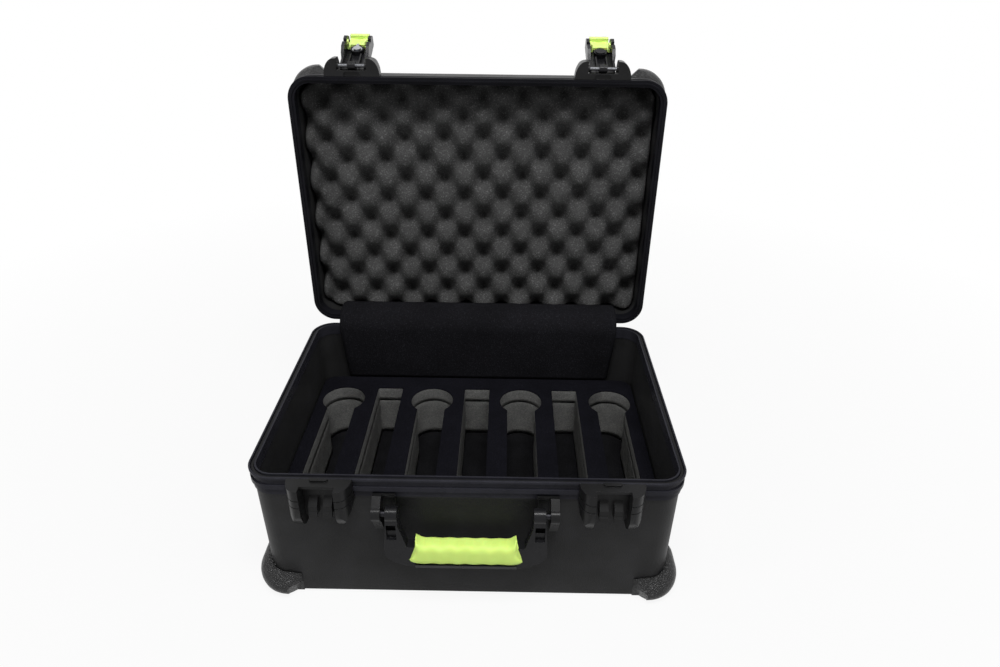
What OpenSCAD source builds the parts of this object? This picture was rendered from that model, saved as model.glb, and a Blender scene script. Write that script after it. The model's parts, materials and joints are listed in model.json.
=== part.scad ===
// Hard carrying case with a hinged lid, a slotted foam tray, two lever latches and a drop handle.
// Millimetres. Origin: middle of the underside. +X right, +Y back, +Z up. The lid stands open.
// The base and the lid are drawn as if the case were shut; open_lid() then swings the lid up.

/* [Case] */
// Width over the rim
case_w = 452; // [420:2:500]
// Depth over the rim, front to back
case_d = 324.4; // [310:2:360]
// Height of the parting plane over the floor
base_h = 169; // [151:2:201]
// Height of the shut lid over the parting plane
lid_h = 58; // [54:1:80]
// Corner radius of the rim, seen from above
corner_r = 28; // [26:1:34]
// Wall of the two shells
wall = 3.5; // [2.5:0.5:4]
// Draft of the moulded walls, in degrees
draft = 1; // [0.5:0.25:1.5]
// Radius round the base shell's bottom edge
base_edge_r = 2.5; // [2:0.5:6]
// Radius round the lid shell's top edge
lid_edge_r = 6; // [3:1:7]
// How far the lid stands open, in degrees
lid_open = 90; // [60:5:90]

/* [Rim] */
// Thickness of the outer lip
lip_t = 2; // [1.6:0.2:2.4]
// Height of the outer lip
lip_h = 5; // [4.6:0.2:6]
// Width of the gasket groove
groove_w = 4.2; // [3.6:0.2:4.6]
// Depth of the gasket groove
groove_d = 3.6; // [3:0.2:4]
// Thickness of the inner tongue
tongue_t = 1.8; // [1.4:0.2:2.2]
// Set-back of the neck under the lip
neck_in = 2.2; // [1:0.2:2.4]
// Distance from the parting plane to the band
band_top = 10.5; // [9:0.5:11]
// Height of the band
band_h = 8.3; // [7:0.5:10]
// Set-back of the band
band_in = 0.5; // [0.2:0.1:1]
// Height of the skirt below the band
skirt_h = 4.6; // [3:0.2:6]
// Set-back of the skirt
skirt_in = 2.4; // [2:0.2:2.6]
// Set-back of the shells behind the rim
shell_in = 3.5; // [3.5:0.25:4.5]
// Gap between the two rims when shut
seam = 0.4; // [0.3:0.1:0.8]
// Thickness of the lid's sealing ridge
ridge_t = 1.5; // [1:0.1:2]
// Reach of the ridge below the parting plane
ridge_drop = 1.2; // [0.8:0.1:1.4]

/* [Hinges] */
// Distance of the hinge axis behind the rim
hinge_back = 2.7; // [2.5:0.1:3.5]
// Height of the hinge axis over the parting plane
hinge_up = 0.8; // [0.5:0.1:1.2]
// Distance between the two hinges
hinge_pitch = 220; // [180:10:260]
// Width of one hinge
hinge_w = 64; // [50:2:80]
// Radius of the hinge knuckles
knuckle_r = 3.6; // [3.2:0.1:3.8]
// Radius of the hinge pins
hinge_pin_r = 1.5; // [1.2:0.1:1.8]
// Reach of the leaves from the hinge axis
leaf_h = 19; // [18:0.5:20]

/* [Feet and bumpers] */
// How far the feet reach below the shell
foot_drop = 1; // [1:0.5:4]
// How far the corner feet stand out past the rim
foot_out = 10; // [6:0.5:11]
// Height of the feet at the corners of the shell
foot_peak = 65; // [54:1:72]
// Height of the feet at the ends of their arms
foot_end = 30; // [24:1:36]
// How far a foot's arm reaches along the wall past the corner
foot_arm = 15; // [10:1:24]
// Radius under the feet's outer edge
foot_round = 18; // [12:1:18]
// How far the lid bumpers stand out past the rim
bumper_out = 5; // [4:0.5:8]
// Height of the lid bumpers at the corners of the shell
bumper_peak = 32; // [26:1:34]
// Height of the lid bumpers at the ends of their arms
bumper_end = 22; // [18:1:24]

/* [Foam] */
// Depth from the parting plane to the top of the tray
tray_drop = 77; // [60:1:90]
// Thickness of the tray's top sheet
top_sheet_t = 16; // [10:1:24]
// Thickness of the pad below the pockets
pad_t = 12; // [8:1:20]
// Pitch of the pockets
pocket_pitch = 60; // [58:0.5:60]
// Number of pockets
pocket_count = 7; // [5:1:7]
// Radius of the round ends
head_r = 28; // [24:0.5:30]
// Distance of the round ends' centres behind the middle
head_y = 88; // [84:1:92]
// Width of the necks in front of the round ends
neck_w = 36.5; // [30:0.5:40]
// Width of the straight pockets
slot_w = 34; // [28:0.5:36]
// Back end of the straight pockets behind the middle
slot_back = 115.5; // [105:0.5:118]
// Front end of all pockets before the middle
pocket_front = 134; // [120:1:138]
// Thickness of the hinge-cover foam
cover_t = 9.5; // [6:0.5:11]
// Width of the hinge-cover foam
cover_w = 364; // [320:2:380]
// Thickness of the lid foam under its valleys
crate_base = 17; // [14:1:24]
// Height of the lid foam's peaks over its valleys
crate_peak = 18; // [12:1:22]
// Pitch of the lid foam's peaks
crate_pitch = 48; // [40:1:56]

/* [Latches] */
// Distance between the two latches
latch_pitch = 294; // [280:2:310]
// Gap between the wings that guard a latch
wing_gap = 35; // [35:0.5:36.5]
// Width over the wings at the rim
wing_w = 66; // [62:1:72]
// How far the wings stand out from the rim
wing_out = 20; // [18:0.5:22]
// Length of the wings along the base's wall
wing_h = 56; // [50:1:56]
// Length of the wings along the lid's wall
lid_wing_h = 25; // [22:1:40]
// Distance of the lever's pin in front of the rim
pin_out = 11.5; // [11:0.25:12]
// Height of the lever's pin over the parting plane
pin_up = 5; // [5:0.1:5.6]
// Radius of the lever's pin
lever_pin_r = 2; // [1.6:0.1:2.2]
// Width of the lever
lever_w = 33.4; // [32:0.2:33.6]
// Length of the lever from its pin
lever_l = 67.5; // [67:0.5:72]
// How far the levers are folded back from shut, in degrees
lever_open = 160; // [100:5:160]
// Distance of the key lock from the pin
lock_u = 43; // [42:0.25:44]
// Radius of the key lock's barrel
lock_r = 6; // [5.2:0.2:6.4]
// Travel of the release slider
release_travel = 3; // [2:0.25:3.2]

/* [Handle] */
// Distance of the handle's pivot in front of the rim
handle_out = 10.8; // [10.8:0.2:13]
// Depth of the handle's pivot below the parting plane
handle_drop = 34.5; // [34:0.5:42]
// Width over the handle's arms at the pivots
handle_w = 162; // [150:1:170]
// Distance from the pivots to the bottom of the handle
handle_l = 69; // [64:1:78]
// Thickness of the handle frame
handle_t = 12; // [10:0.5:13]
// Radius of the pivot bosses
boss_r = 8; // [7:0.25:8]
// Radius of the handle's pins
handle_pin_r = 3; // [2.4:0.2:3.4]
// Gap between the arms and the brackets
bracket_gap = 5; // [3:0.5:7]
// Thickness of the handle brackets
bracket_t = 9; // [7:0.5:11]
// Thickness of the soft grip
grip_t = 20; // [18:0.5:20]
// Length of the soft grip along its top
grip_w = 104; // [96:1:108]
// Depth of the finger recess in the front wall
recess_d = 9; // [6:0.5:10]

/* [Hidden] */
$fn = 64;
fit = 0.02;
running = 0.06;
play = 0.4;
soft_gap = 0.3;
rim_t = lip_t + groove_w + tongue_t;
shell_h = base_h - foot_drop;
seat_h = 14;
edge_c = 0.6;
band_bot = band_top + band_h;
skirt_bot = band_bot + skirt_h;
floor_in = corner_r - 4;
inner_r = 1.2;
hinge_y = case_d / 2 + hinge_back;
hinge_z = base_h + hinge_up;
latch_x = latch_pitch / 2;
foam_top = base_h - tray_drop;

// ---- ways to carry a section round the case ----

// Lengths to the nearest thousandth, so that the pieces of a section meet exactly
function near(v) = round(v * 1000) / 1000;

// How far a drafted wall has leaned in at a distance h from the parting plane
function lean(h) = near(tan(draft) * h);

// Arc about c from angle a to b, seen in the section's own plane
function arc(c, r, a, b, steps = 6) =
    [for (i = [0:steps])
        let (t = a + (b - a) * i / steps)
        [near(c[0] + r * cos(t)), near(c[1] + r * sin(t))]];

// Sections are lists of [distance in from the rim's outline, distance from the parting plane].
// side is -1 for the base and 1 for the lid.
module corner_run(section, side) {
    translate([case_w / 2 - corner_r, case_d / 2 - corner_r, base_h])
        rotate_extrude(angle = 90)
            polygon([for (p = section) [corner_r - p[0], side * p[1]]]);
}

// The section along the back, of length l centred at x
module back_run(section, side, l, x = 0) {
    translate([x - l / 2, case_d / 2 - corner_r, base_h])
        rotate([90, 0, 90])
            linear_extrude(height = l)
                polygon([for (p = section) [corner_r - p[0], side * p[1]]]);
}

// The section along the right side, from y0 to y1
module side_run(section, side, y0, y1) {
    translate([case_w / 2 - corner_r, y1, base_h])
        rotate([90, 0, 0])
            linear_extrude(height = y1 - y0)
                polygon([for (p = section) [corner_r - p[0], side * p[1]]]);
}

// The section along the front, of length l centred at x
module front_run(section, side, l, x = 0) {
    mirror([0, 1, 0]) back_run(section, side, l, x);
}

// The section all the way round
module swept(section, side) {
    for (mx = [0, 1])
        mirror([mx, 0, 0]) {
            side_run(section, side, corner_r - case_d / 2, case_d / 2 - corner_r);
            for (my = [0, 1])
                mirror([0, my, 0]) {
                    corner_run(section, side);
                }
        }
    back_run(section, side, case_w - 2 * corner_r);
    front_run(section, side, case_w - 2 * corner_r);
}

// Rounded rectangle with true arcs
module rounded(w, d, r) {
    square([w - 2 * r, d], center = true);
    square([w, d - 2 * r], center = true);
    for (x = [r - w / 2, w / 2 - r], y = [r - d / 2, d / 2 - r])
        translate([x, y]) circle(r = r);
}

// Flat profile [y, z] carried along x from x0 to x1
module along_x(points, x0, x1) {
    translate([x0, 0, 0])
        rotate([90, 0, 90])
            linear_extrude(height = x1 - x0) polygon(points);
}

// Rod along x
module rod(r, x0, x1) {
    translate([x0, 0, 0]) rotate([0, 90, 0]) cylinder(r = r, h = x1 - x0);
}

// Swings the shut lid open about the hinge axis
module open_lid() {
    translate([0, hinge_y, hinge_z])
        rotate([-lid_open, 0, 0])
            translate([0, -hinge_y, -hinge_z]) children();
}

// ---- sections ----

// Outer face of a shell of depth h, from the rim's seat to the floor, with its round edge
function shell_outside(h, r) =
    let (o = shell_in + lean(h - r))
    concat([[shell_in + lean(seat_h), seat_h]],
           arc([o + r, h - r], r, 180, 90));

// Wall of a shell with the outer strip of its floor
function shell_section(h, r) =
    let (i = shell_in + wall + lean(h - wall - inner_r))
    concat(shell_outside(h, r),
           [[floor_in, h], [floor_in, h - wall]],
           arc([i + inner_r, h - wall - inner_r], inner_r, 90, 180),
           [[shell_in + wall + lean(seat_h), seat_h]]);

// Outer face of a rim from the skirt's foot to the lip
rim_outside = [
    [shell_in + lean(seat_h), seat_h], [shell_in + lean(skirt_bot), skirt_bot],
    [skirt_in, skirt_bot], [skirt_in, band_bot], [band_in, band_bot], [band_in, band_top],
    [neck_in, band_top], [neck_in, lip_h], [0, lip_h]
];

// Base rim: lip, gasket groove and tongue
base_rim_section = concat(
    [[0, edge_c], [edge_c, 0], [lip_t, 0], [lip_t, groove_d],
     [lip_t + groove_w, groove_d], [lip_t + groove_w, 0], [rim_t, 0], [rim_t, seat_h]],
    rim_outside);

// Lid rim: the same outside, with a ridge over the middle of the groove
ridge_in = lip_t + (groove_w - ridge_t) / 2;
lid_rim_section = concat(
    [[0, seam + edge_c], [edge_c, seam], [ridge_in, seam], [ridge_in, -ridge_drop],
     [ridge_in + ridge_t, -ridge_drop], [ridge_in + ridge_t, seam], [rim_t, seam], [rim_t, seat_h]],
    rim_outside);

// All that lies behind the outside of a rim and its shell, to cut what is fitted over them
function behind_wall(h) = concat(
    [[60, -1], [0, -1]],
    [for (i = [len(rim_outside) - 1:-1:1]) rim_outside[i]],
    [[shell_in + lean(h), h], [60, h]]);

// ---- base ----

module floor_plate(h, side) {
    z = base_h + side * (h - wall / 2);
    translate([0, 0, z])
        linear_extrude(height = wall, center = true)
            rounded(case_w - 2 * floor_in + 2, case_d - 2 * floor_in + 2, corner_r - floor_in + 1);
}

recess_w = handle_w - 14;
recess_top = skirt_bot + 3;
recess_bot = handle_drop + handle_l - 4;

// Pocket for the fingers behind the handle, with a sloping lower end
module recess_cut() {
    back = shell_in + recess_d;
    front_run([[-1, recess_top], [back + lean(recess_top), recess_top],
               [back + lean(recess_bot - recess_d), recess_bot - 2 * recess_d],
               [shell_in + lean(recess_bot), recess_bot], [-1, recess_bot]],
              -1, recess_w);
}

// The wall that goes round that pocket, inside the shell
module recess_boss() {
    back = shell_in + recess_d + wall;
    low = recess_bot + wall;
    front_run([[shell_in + 1, recess_top - wall], [back + lean(recess_top), recess_top - wall],
               [back + lean(low - recess_d), low - 2 * recess_d],
               [shell_in + 1 + lean(low), low]],
              -1, recess_w + 2 * wall);
}

module base_shell() {
    color("#26272a")
        difference() {
            union() {
                swept(shell_section(shell_h, base_edge_r), -1);
                floor_plate(shell_h, -1);
                recess_boss();
            }
            recess_cut();
            keeper_screw_places() keeper_screw(play / 2);
            bracket_screw_places() bracket_screw(play / 2);
        }
}

// Room for the hinges at the back of a rim
module hinge_room() {
    for (x = [-hinge_pitch / 2, hinge_pitch / 2])
        translate([x, hinge_y, hinge_z]) {
            rod(knuckle_r + play, -hinge_w / 2 - play, hinge_w / 2 + play);
            translate([-hinge_w / 2 - play, -hinge_back - band_in, -leaf_h])
                cube([hinge_w + 2 * play, 20, 2 * leaf_h]);
        }
}

module base_rim() {
    color("#2a2b30")
        difference() {
            swept(base_rim_section, -1);
            hinge_room();
            base_screw_places() hinge_screw(play / 4);
        }
}

module rim_seal() {
    seal_top = ridge_drop + play;
    in0 = lip_t + soft_gap;
    in1 = lip_t + groove_w - soft_gap;
    color("#141416")
        swept([[in0, groove_d], [in0, seal_top + 0.6], [in0 + 0.6, seal_top],
               [in1 - 0.6, seal_top], [in1, seal_top + 0.6], [in1, groove_d]], -1);
}

// Boot round a corner: it swells out from the shell to its widest at half its height, rounds in
// to its underside and reaches in under the shell. h is the depth of its underside, shell that of
// the shell's, and edge the radius round the shell's edge.
boot_in = 20;

function boot_section(h, shell, edge, out, peak, round_r) =
    let (top = h - peak, swell = peak / 2, outside = shell_outside(shell, edge),
         turn = 2 * atan((out + shell_in + lean(top)) / swell), r = swell / sin(turn))
    concat([[shell_in + lean(top), top]],
           arc([r - out, top + swell], r, 180 + 0.75 * turn, 180, 3),
           arc([round_r - out, h - round_r], round_r, 180, 90),
           [[boot_in, h], [boot_in, shell]],
           [for (i = [len(outside) - 1:-1:1]) outside[i]]);

// Turns half-way round the corner, to repeat what is drawn for the arm along the back
module both_arms() {
    for (m = [0, 1])
        mirror([m, -m, 0]) children();
}

// Boot with two arms for the back right corner of the base. Each arm has a facet that falls
// outwards and towards its end, and its end slants back to the corner, lowest first.
facet_rise = 0.62;
facet_fall = 1.4;
end_tilt = 16;

module boot(h, shell, edge, out, peak, end, round_r) {
    section = boot_section(h, shell, edge, out, peak, round_r);
    face = corner_r - shell_in - lean(shell - end);
    arm = foot_arm + out + 12;
    n = norm([facet_rise, facet_fall, 1]);
    translate([case_w / 2 - corner_r, case_d / 2 - corner_r, base_h])
        difference() {
            union() {
                rotate_extrude(angle = 90) polygon([for (p = section) [corner_r - p[0], -p[1]]]);
                both_arms()
                    translate([-arm, corner_r, 0])
                        rotate([90, 0, 90])
                            linear_extrude(height = arm) polygon([for (p = section) [-p[0], -p[1]]]);
            }
            both_arms() {
                translate([-foot_arm, face, end - h])
                    rotate([-asin(facet_fall / n), -atan(facet_rise), 0])
                        translate([-100, -100, 0]) cube([200, 200, 100]);
                translate([-foot_arm, face, end - h])
                    rotate([0, -end_tilt, 0])
                        translate([0, 0, -h])
                            linear_extrude(height = 2 * h)
                                polygon([[-40, -40], [60, 60], [-90, 60], [-90, -40]]);
            }
        }
}

module base_foot(mx, my) {
    color("#1d1d1f")
        mirror([mx, 0, 0]) mirror([0, my, 0])
            boot(base_h, shell_h, base_edge_r, foot_out, foot_peak, foot_end, foot_round);
}

module foot_front_left() base_foot(1, 1);
module foot_front_right() base_foot(0, 1);
module foot_back_left() base_foot(1, 0);
module foot_back_right() base_foot(0, 0);

// ---- foam ----

tray_in = shell_in + wall + lean(base_h) + 1.2;
tray_w = case_w - 2 * tray_in;
tray_back = case_d / 2 - rim_t - soft_gap - cover_t - 2.5;
tray_front = tray_in - case_d / 2;
tray_r = corner_r - tray_in;

// The tray fills the base, less a notch round the finger recess
module tray_outline() {
    notch_w = recess_w + 2 * wall + 4 * play;
    difference() {
        translate([0, (tray_back + tray_front) / 2])
            rounded(tray_w, tray_back - tray_front, tray_r);
        translate([-notch_w / 2, -case_d / 2])
            square([notch_w, shell_in + recess_d + wall + lean(base_h) + play]);
    }
}

// Round-ended pockets alternate with straight ones
module pockets() {
    for (i = [0:pocket_count - 1]) {
        x = (i - (pocket_count - 1) / 2) * pocket_pitch;
        round_end = i % 2 == 0;
        w = round_end ? neck_w : slot_w;
        back = round_end ? head_y : slot_back;
        translate([x, 0]) {
            translate([-w / 2, -pocket_front]) square([w, back + pocket_front]);
            if (round_end)
                translate([0, head_y]) circle(r = head_r);
        }
    }
}

module foam_layer(z0, z1) {
    translate([0, 0, z0])
        linear_extrude(height = z1 - z0)
            difference() {
                tray_outline();
                pockets();
            }
}

module foam_top_sheet() {
    color("#17171c") foam_layer(foam_top - top_sheet_t, foam_top);
}

module foam_tray_body() {
    color("#3c3c3e") foam_layer(foot_drop + wall + pad_t, foam_top - top_sheet_t);
}

module foam_base_pad() {
    color("#232326")
        translate([0, 0, foot_drop + wall])
            linear_extrude(height = pad_t) tray_outline();
}

cover_back = case_d / 2 - max(rim_t, shell_in + wall + lean(tray_drop)) - soft_gap;

module hinge_cover_base() {
    color("#141416")
        translate([-cover_w / 2, cover_back - cover_t, foam_top + soft_gap])
            cube([cover_w, cover_t, tray_drop - soft_gap - 1]);
}

module hinge_cover_lid() {
    color("#141416")
        open_lid()
            translate([-cover_w / 2, cover_back - cover_t, base_h + seam + 1])
                cube([cover_w, cover_t, crate_low - seam - 1 - soft_gap]);
}

// Egg-crate foam: a height field of crossed cosines on a grid drawn in to the round corners
crate_back = lid_h - wall;
crate_low = crate_back - crate_base - crate_peak;
crate_w = case_w / 2 - shell_in - wall - lean(lid_h) - inner_r;
crate_d = case_d / 2 - shell_in - wall - lean(lid_h) - inner_r - 2.1;
crate_r = corner_r - shell_in - wall;
crate_nx = 36;
crate_ny = 26;

function drawn_in(x, y) =
    let (dx = max(0, abs(x) - crate_w + crate_r), dy = max(0, abs(y) - crate_d + crate_r),
         k = dx > 0 && dy > 0 ? max(dx, dy) / norm([dx, dy]) : 1)
    [sign(x) * (abs(x) - dx + dx * k), sign(y) * (abs(y) - dy + dy * k)];

function crate_height(x, y) =
    crate_low + crate_peak / 2 * (1 - cos(360 * x / crate_pitch) * cos(360 * y / crate_pitch));

module lid_foam() {
    n = crate_nx + 1;
    m = crate_ny + 1;
    face = [for (j = [0:crate_ny], i = [0:crate_nx])
        let (p = drawn_in((2 * i / crate_nx - 1) * crate_w, (2 * j / crate_ny - 1) * crate_d))
        [p[0], p[1], base_h + crate_height(p[0], p[1])]];
    back = [for (p = face) [p[0], p[1], base_h + crate_back]];
    o = n * m;
    color("#2c2c2f")
        open_lid()
            polyhedron(concat(face, back), concat(
                [for (j = [0:m - 2], i = [0:n - 2]) [j * n + i, j * n + i + 1, j * n + n + i + 1]],
                [for (j = [0:m - 2], i = [0:n - 2]) [j * n + i, j * n + n + i + 1, j * n + n + i]],
                [[for (i = [0:n - 1]) o + n - 1 - i,
                  for (j = [1:m - 1]) o + j * n,
                  for (i = [1:n - 1]) o + (m - 1) * n + i,
                  for (j = [m - 2:-1:1]) o + j * n + n - 1]],
                [for (i = [0:n - 2]) [i + 1, i, o + i, o + i + 1]],
                [for (i = [0:n - 2]) [(m - 1) * n + i, (m - 1) * n + i + 1,
                                      o + (m - 1) * n + i + 1, o + (m - 1) * n + i]],
                [for (j = [0:m - 2]) [j * n, j * n + n, o + j * n + n, o + j * n]],
                [for (j = [0:m - 2]) [j * n + 2 * n - 1, j * n + n - 1,
                                      o + j * n + n - 1, o + j * n + 2 * n - 1]]));
}

// ---- latch guards: keepers on the base and brackets on the lid ----

// Half outline of a wing seen from above, then from the front, then from the side
function wing_plan(grow = 0) = concat(
    [[wing_gap / 2, -shell_in - 4], [wing_gap / 2, wing_out + grow],
     [wing_gap / 2 + 2.5, wing_out + grow]],
    [for (a = [80:-10:0])
        [wing_gap / 2 + 2.5 + (wing_w / 2 + grow - wing_gap / 2 - 2.5) * cos(a),
         (wing_out + grow) * sin(a)]],
    [[wing_w / 2 + grow, -shell_in - 4]]);

function wing_front(h0, l) = [
    [wing_gap / 2, h0], [wing_w / 2, h0], [wing_w / 2, 0.46 * l], [wing_w / 2 - 1.5, 0.58 * l],
    [wing_w / 2 - 5, 0.7 * l], [wing_gap / 2 + 5, 0.87 * l], [wing_gap / 2 + 2, 0.96 * l],
    [wing_gap / 2, l]];

function wing_side(h0, l) = concat(
    [[-shell_in - 4, h0]],
    [for (a = [0:9:90]) [(wing_out + 5) * cos(a), l * sin(a)]],
    [[-shell_in - 4, l]]);

// One wing of length l; x is across, -y is out from the wall, z runs along the wall from h0
module wing(side, h0, l) {
    intersection() {
        translate([0, 0, side > 0 ? 0 : -l])
            linear_extrude(height = l) polygon([for (p = wing_plan()) [p[0], -p[1]]]);
        translate([0, 10, 0])
            rotate([90, 0, 0])
                linear_extrude(height = wing_out + 20)
                    polygon([for (p = wing_front(h0, l)) [p[0], side * p[1]]]);
        along_x([for (p = wing_side(h0, l)) [-p[0], side * p[1]]], 0, wing_w);
    }
}

// Shallow grooves across the outer face of a keeper's wing
groove_hs = [13, 22];

module wing_grooves() {
    for (h = groove_hs)
        translate([0, 0, -h])
            difference() {
                linear_extrude(height = 0.9) polygon([for (p = wing_plan(2)) [p[0], -p[1]]]);
                translate([0, 0, -1])
                    linear_extrude(height = 3) polygon([for (p = wing_plan(-0.7)) [p[0] - 0.01, -p[1]]]);
            }
}

// Cuts what is fitted over the front wall to that wall
module on_front_wall(side) {
    difference() {
        children();
        front_run(behind_wall(wing_h + 20), side, case_w);
    }
}

module at_front(x) {
    translate([x, -case_d / 2, base_h]) children();
}

// Keeper: wings, top plate, back plate and two hooks with a lip that the slider's toes catch
hook_lip_h = 41;
hook_lip_t = 2.6;
hook_out = 12;
back_plate_t = 1.5;

module hook() {
    along_x([[6, -20], [-back_plate_t, -20], [1.8 - hook_out, -28], [1.8 - hook_out, -34.6],
             [-hook_out, -36.4], [-hook_out, -hook_lip_h],
             [hook_lip_t - hook_out, -hook_lip_h], [hook_lip_t - hook_out, -38.2],
             [-4.4, -38.2], [-4.4, -hook_lip_h], [6, -hook_lip_h]], 3, 12);
}

// Tongue on top of the keeper, seen from above; grow widens it for its socket
tongue_h = 1.8;

module tongue_plan(grow) {
    polygon([[-9.3 - grow, grow - 0.8], [9.3 + grow, grow - 0.8], [9.3 + grow, -3],
             [7.6 + grow, -4.8 - grow], [-7.6 - grow, -4.8 - grow], [-9.3 - grow, -3]]);
}

module keeper(x) {
    color("#2a2b30")
        difference() {
            on_front_wall(-1)
                at_front(x) {
                    for (m = [0, 1])
                        mirror([m, 0, 0]) {
                            difference() {
                                wing(-1, 0, wing_h);
                                wing_grooves();
                            }
                            hook();
                            along_x([[6, 0], [-hook_out, 0], [-hook_out, -3], [-hook_out + 1, -4],
                                     [6, -4]], 0, wing_gap / 2 + 1);
                        }
                    translate([-wing_gap / 2 - 1, -back_plate_t, -46])
                        cube([wing_gap + 2, 10, 46]);
                    along_x([[6, -4], [-8, -4], [-8, -6], [-back_plate_t, -12], [6, -12]], -1.2, 1.2);
                    // tongue that guides the lid's bracket
                    translate([0, 0, -1]) linear_extrude(height = 1 + tongue_h) tongue_plan(0);
                }
            keeper_screw_places() keeper_screw(play / 4);
        }
}

module keeper_left() keeper(-latch_x);
module keeper_right() keeper(latch_x);

// Screws from inside the shell into the wings
keeper_screw_h = 34;
keeper_screw_x = wing_gap / 2 + 5;

module keeper_screw_places() {
    for (x = [-latch_x, latch_x], s = [-1, 1])
        translate([x + s * keeper_screw_x,
                   shell_in + wall + lean(keeper_screw_h) - case_d / 2 + soft_gap,
                   base_h - keeper_screw_h])
            children();
}

// Pan head on the inside, shank towards the front; grow opens a hole for it
module inside_screw(shank_r, shank_l, head_r, head_t, grow) {
    rotate([90, 0, 0]) {
        translate([0, 0, -grow]) cylinder(r = shank_r + grow, h = shank_l + 2 * grow);
        if (grow == 0)
            translate([0, 0, -head_t]) cylinder(r = head_r, h = head_t);
    }
}

module keeper_screw(grow = 0) inside_screw(1.6, 8.5, 3.2, 2, grow);

module keeper_screws() {
    color("#b8babd") keeper_screw_places() keeper_screw();
}

// Bracket on the lid: short wings, a back web, a nose plate with a socket for the keeper's tongue
// and two ears that hold the lever's pin
ear_x = lever_w / 2 - 1.1;

module latch_bracket(x) {
    color("#2a2b30")
        open_lid()
            difference() {
                on_front_wall(1)
                    at_front(x) {
                        for (m = [0, 1])
                            mirror([m, 0, 0]) {
                                wing(1, seam, lid_wing_h);
                                translate([0, -pin_out, pin_up])
                                    rod(lever_pin_r + 2, ear_x, wing_gap / 2 + 1);
                            }
                        translate([-wing_gap / 2 - 1, -3.5, seam])
                            cube([wing_gap + 2, 12, 44]);
                        translate([-wing_gap / 2 - 1, -6.6, seam])
                            cube([wing_gap + 2, 10, 3.4]);
                    }
                at_front(x)
                    translate([0, -pin_out, pin_up])
                        rod(lever_pin_r + fit, -wing_gap / 2 - 3 - play, wing_gap / 2 + 3 + play);
                at_front(x)
                    linear_extrude(height = tongue_h + 0.8) tongue_plan(play);
                latch_screw_places() keeper_screw(play / 4);
            }
}

module latch_bracket_left() latch_bracket(-latch_x);
module latch_bracket_right() latch_bracket(latch_x);

module latch_pins() {
    color("#c9cbcf")
        open_lid()
            for (x = [-latch_x, latch_x])
                at_front(x)
                    translate([0, -pin_out, pin_up])
                        rod(lever_pin_r, -wing_gap / 2 - 3, wing_gap / 2 + 3);
}

module latch_screw_places() {
    for (x = [-latch_x, latch_x], s = [-1, 1])
        translate([x + s * 12,
                   shell_in + wall + lean(keeper_screw_h) - case_d / 2 + soft_gap,
                   base_h + keeper_screw_h])
            children();
}

module latch_screws() {
    color("#b8babd") open_lid() latch_screw_places() keeper_screw();
}

// ---- lever, drawn shut with its pin at the origin ----
// Profiles are [out from the pin, down from the pin]

cover_wall = 2.4;
cheek_in = 12.8;
window_w = 19;
window_u = [53, 62.5];

function out_face(u) = 8.2 + 1.8 * sin(180 * u / lever_l);
function wu(points) = [for (p = points) [-p[0], -p[1]]];

module at_latch(x) {
    open_lid()
        at_front(x)
            translate([0, -pin_out, pin_up])
                rotate([-lever_open, 0, 0]) children();
}

// Front outline of the lever: narrow at the pin, full width at the finger end
module lever_outline() {
    w1 = lever_w / 2;
    translate([0, 30, 0])
        rotate([90, 0, 0])
            linear_extrude(height = 60)
                polygon([[1.5 - w1, 6], [w1 - 1.5, 6], [w1 - 1.5, -18], [w1, -27],
                         [w1, 3 - lever_l], [w1 - 3, -lever_l],
                         [3 - w1, -lever_l], [-w1, 3 - lever_l], [-w1, -27], [1.5 - w1, -18]]);
}

module lever_cover() {
    steps = [for (i = [0:14]) 2 + (lever_l - 2) * i / 14];
    along_x(wu(concat([for (u = steps) [out_face(u), u]],
                      [for (i = [14:-1:0]) [out_face(steps[i]) - cover_wall, steps[i]]])),
            -lever_w / 2, lever_w / 2);
}

// Side cheek with a notch beside the slider's foot
module lever_cheek() {
    along_x(wu([[7, 3], [1.4, 7], [1.4, 22], [-4, 31], [-6.5, 34], [-6.5, lock_u + 1],
                [-3.5, lock_u + 2], [-3.5, lock_u + 7], [-6.5, lock_u + 8],
                [-6.5, lever_l - 9], [-1, lever_l], [8, lever_l]]),
            cheek_in, lever_w / 2);
}

module lever_body() {
    difference() {
        intersection() {
            lever_outline();
            union() {
                lever_cover();
                for (m = [0, 1])
                    mirror([m, 0, 0]) {
                        lever_cheek();
                        // stiffening rib
                        along_x(wu([[8, 6], [3, 10], [3, 33], [8, 33]]), 5.4, 6.8);
                        // runner and lip that hold the slider
                        along_x(wu([[8, 55], [5, 55], [5, lever_l - 1], [8, lever_l - 1]]),
                                window_w / 2 + 0.6, cheek_in + 1);
                        along_x(wu([[1.4, 56], [0.2, 57], [0.2, 61], [1.4, 62]]),
                                cheek_in - 1.6, cheek_in + 1);
                    }
                // knuckle on the pin and its web
                rod(lever_pin_r + 2.2, -4.5, 4.5);
                along_x(wu([[0, -3], [8.2, 2], [8.2, 9], [-2, 3.4]]), -4.5, 4.5);
                // boss round the lock
                translate([0, 0, -lock_u])
                    rotate([90, 0, 0]) cylinder(r = lock_r + 1.6, h = 8.2);
            }
        }
        rod(lever_pin_r + running, -5, 5);
        translate([-window_w / 2, -20, -window_u[1] - release_travel])
            cube([window_w, 17, window_u[1] - window_u[0] + release_travel]);
        translate([0, 1, -lock_u])
            rotate([90, 0, 0]) cylinder(r = lock_r + fit, h = 20);
        translate([0, -2, -lock_u])
            rotate([90, 0, 0])
                translate([0, 0, -10]) cylinder(r = lock_r + 1.7, h = 10);
    }
}

module lever_left() {
    color("#1f2022") at_latch(-latch_x) lever_body();
}

module lever_right() {
    color("#1f2022") at_latch(latch_x) lever_body();
}

// Release slider: plate with a folded crease, two legs with toes, a finger ledge and a thumb pad
plate = [1.8, 4.6];
plate_w = cheek_in - 0.6;
toe_u = lock_u + 1.3;

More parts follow.
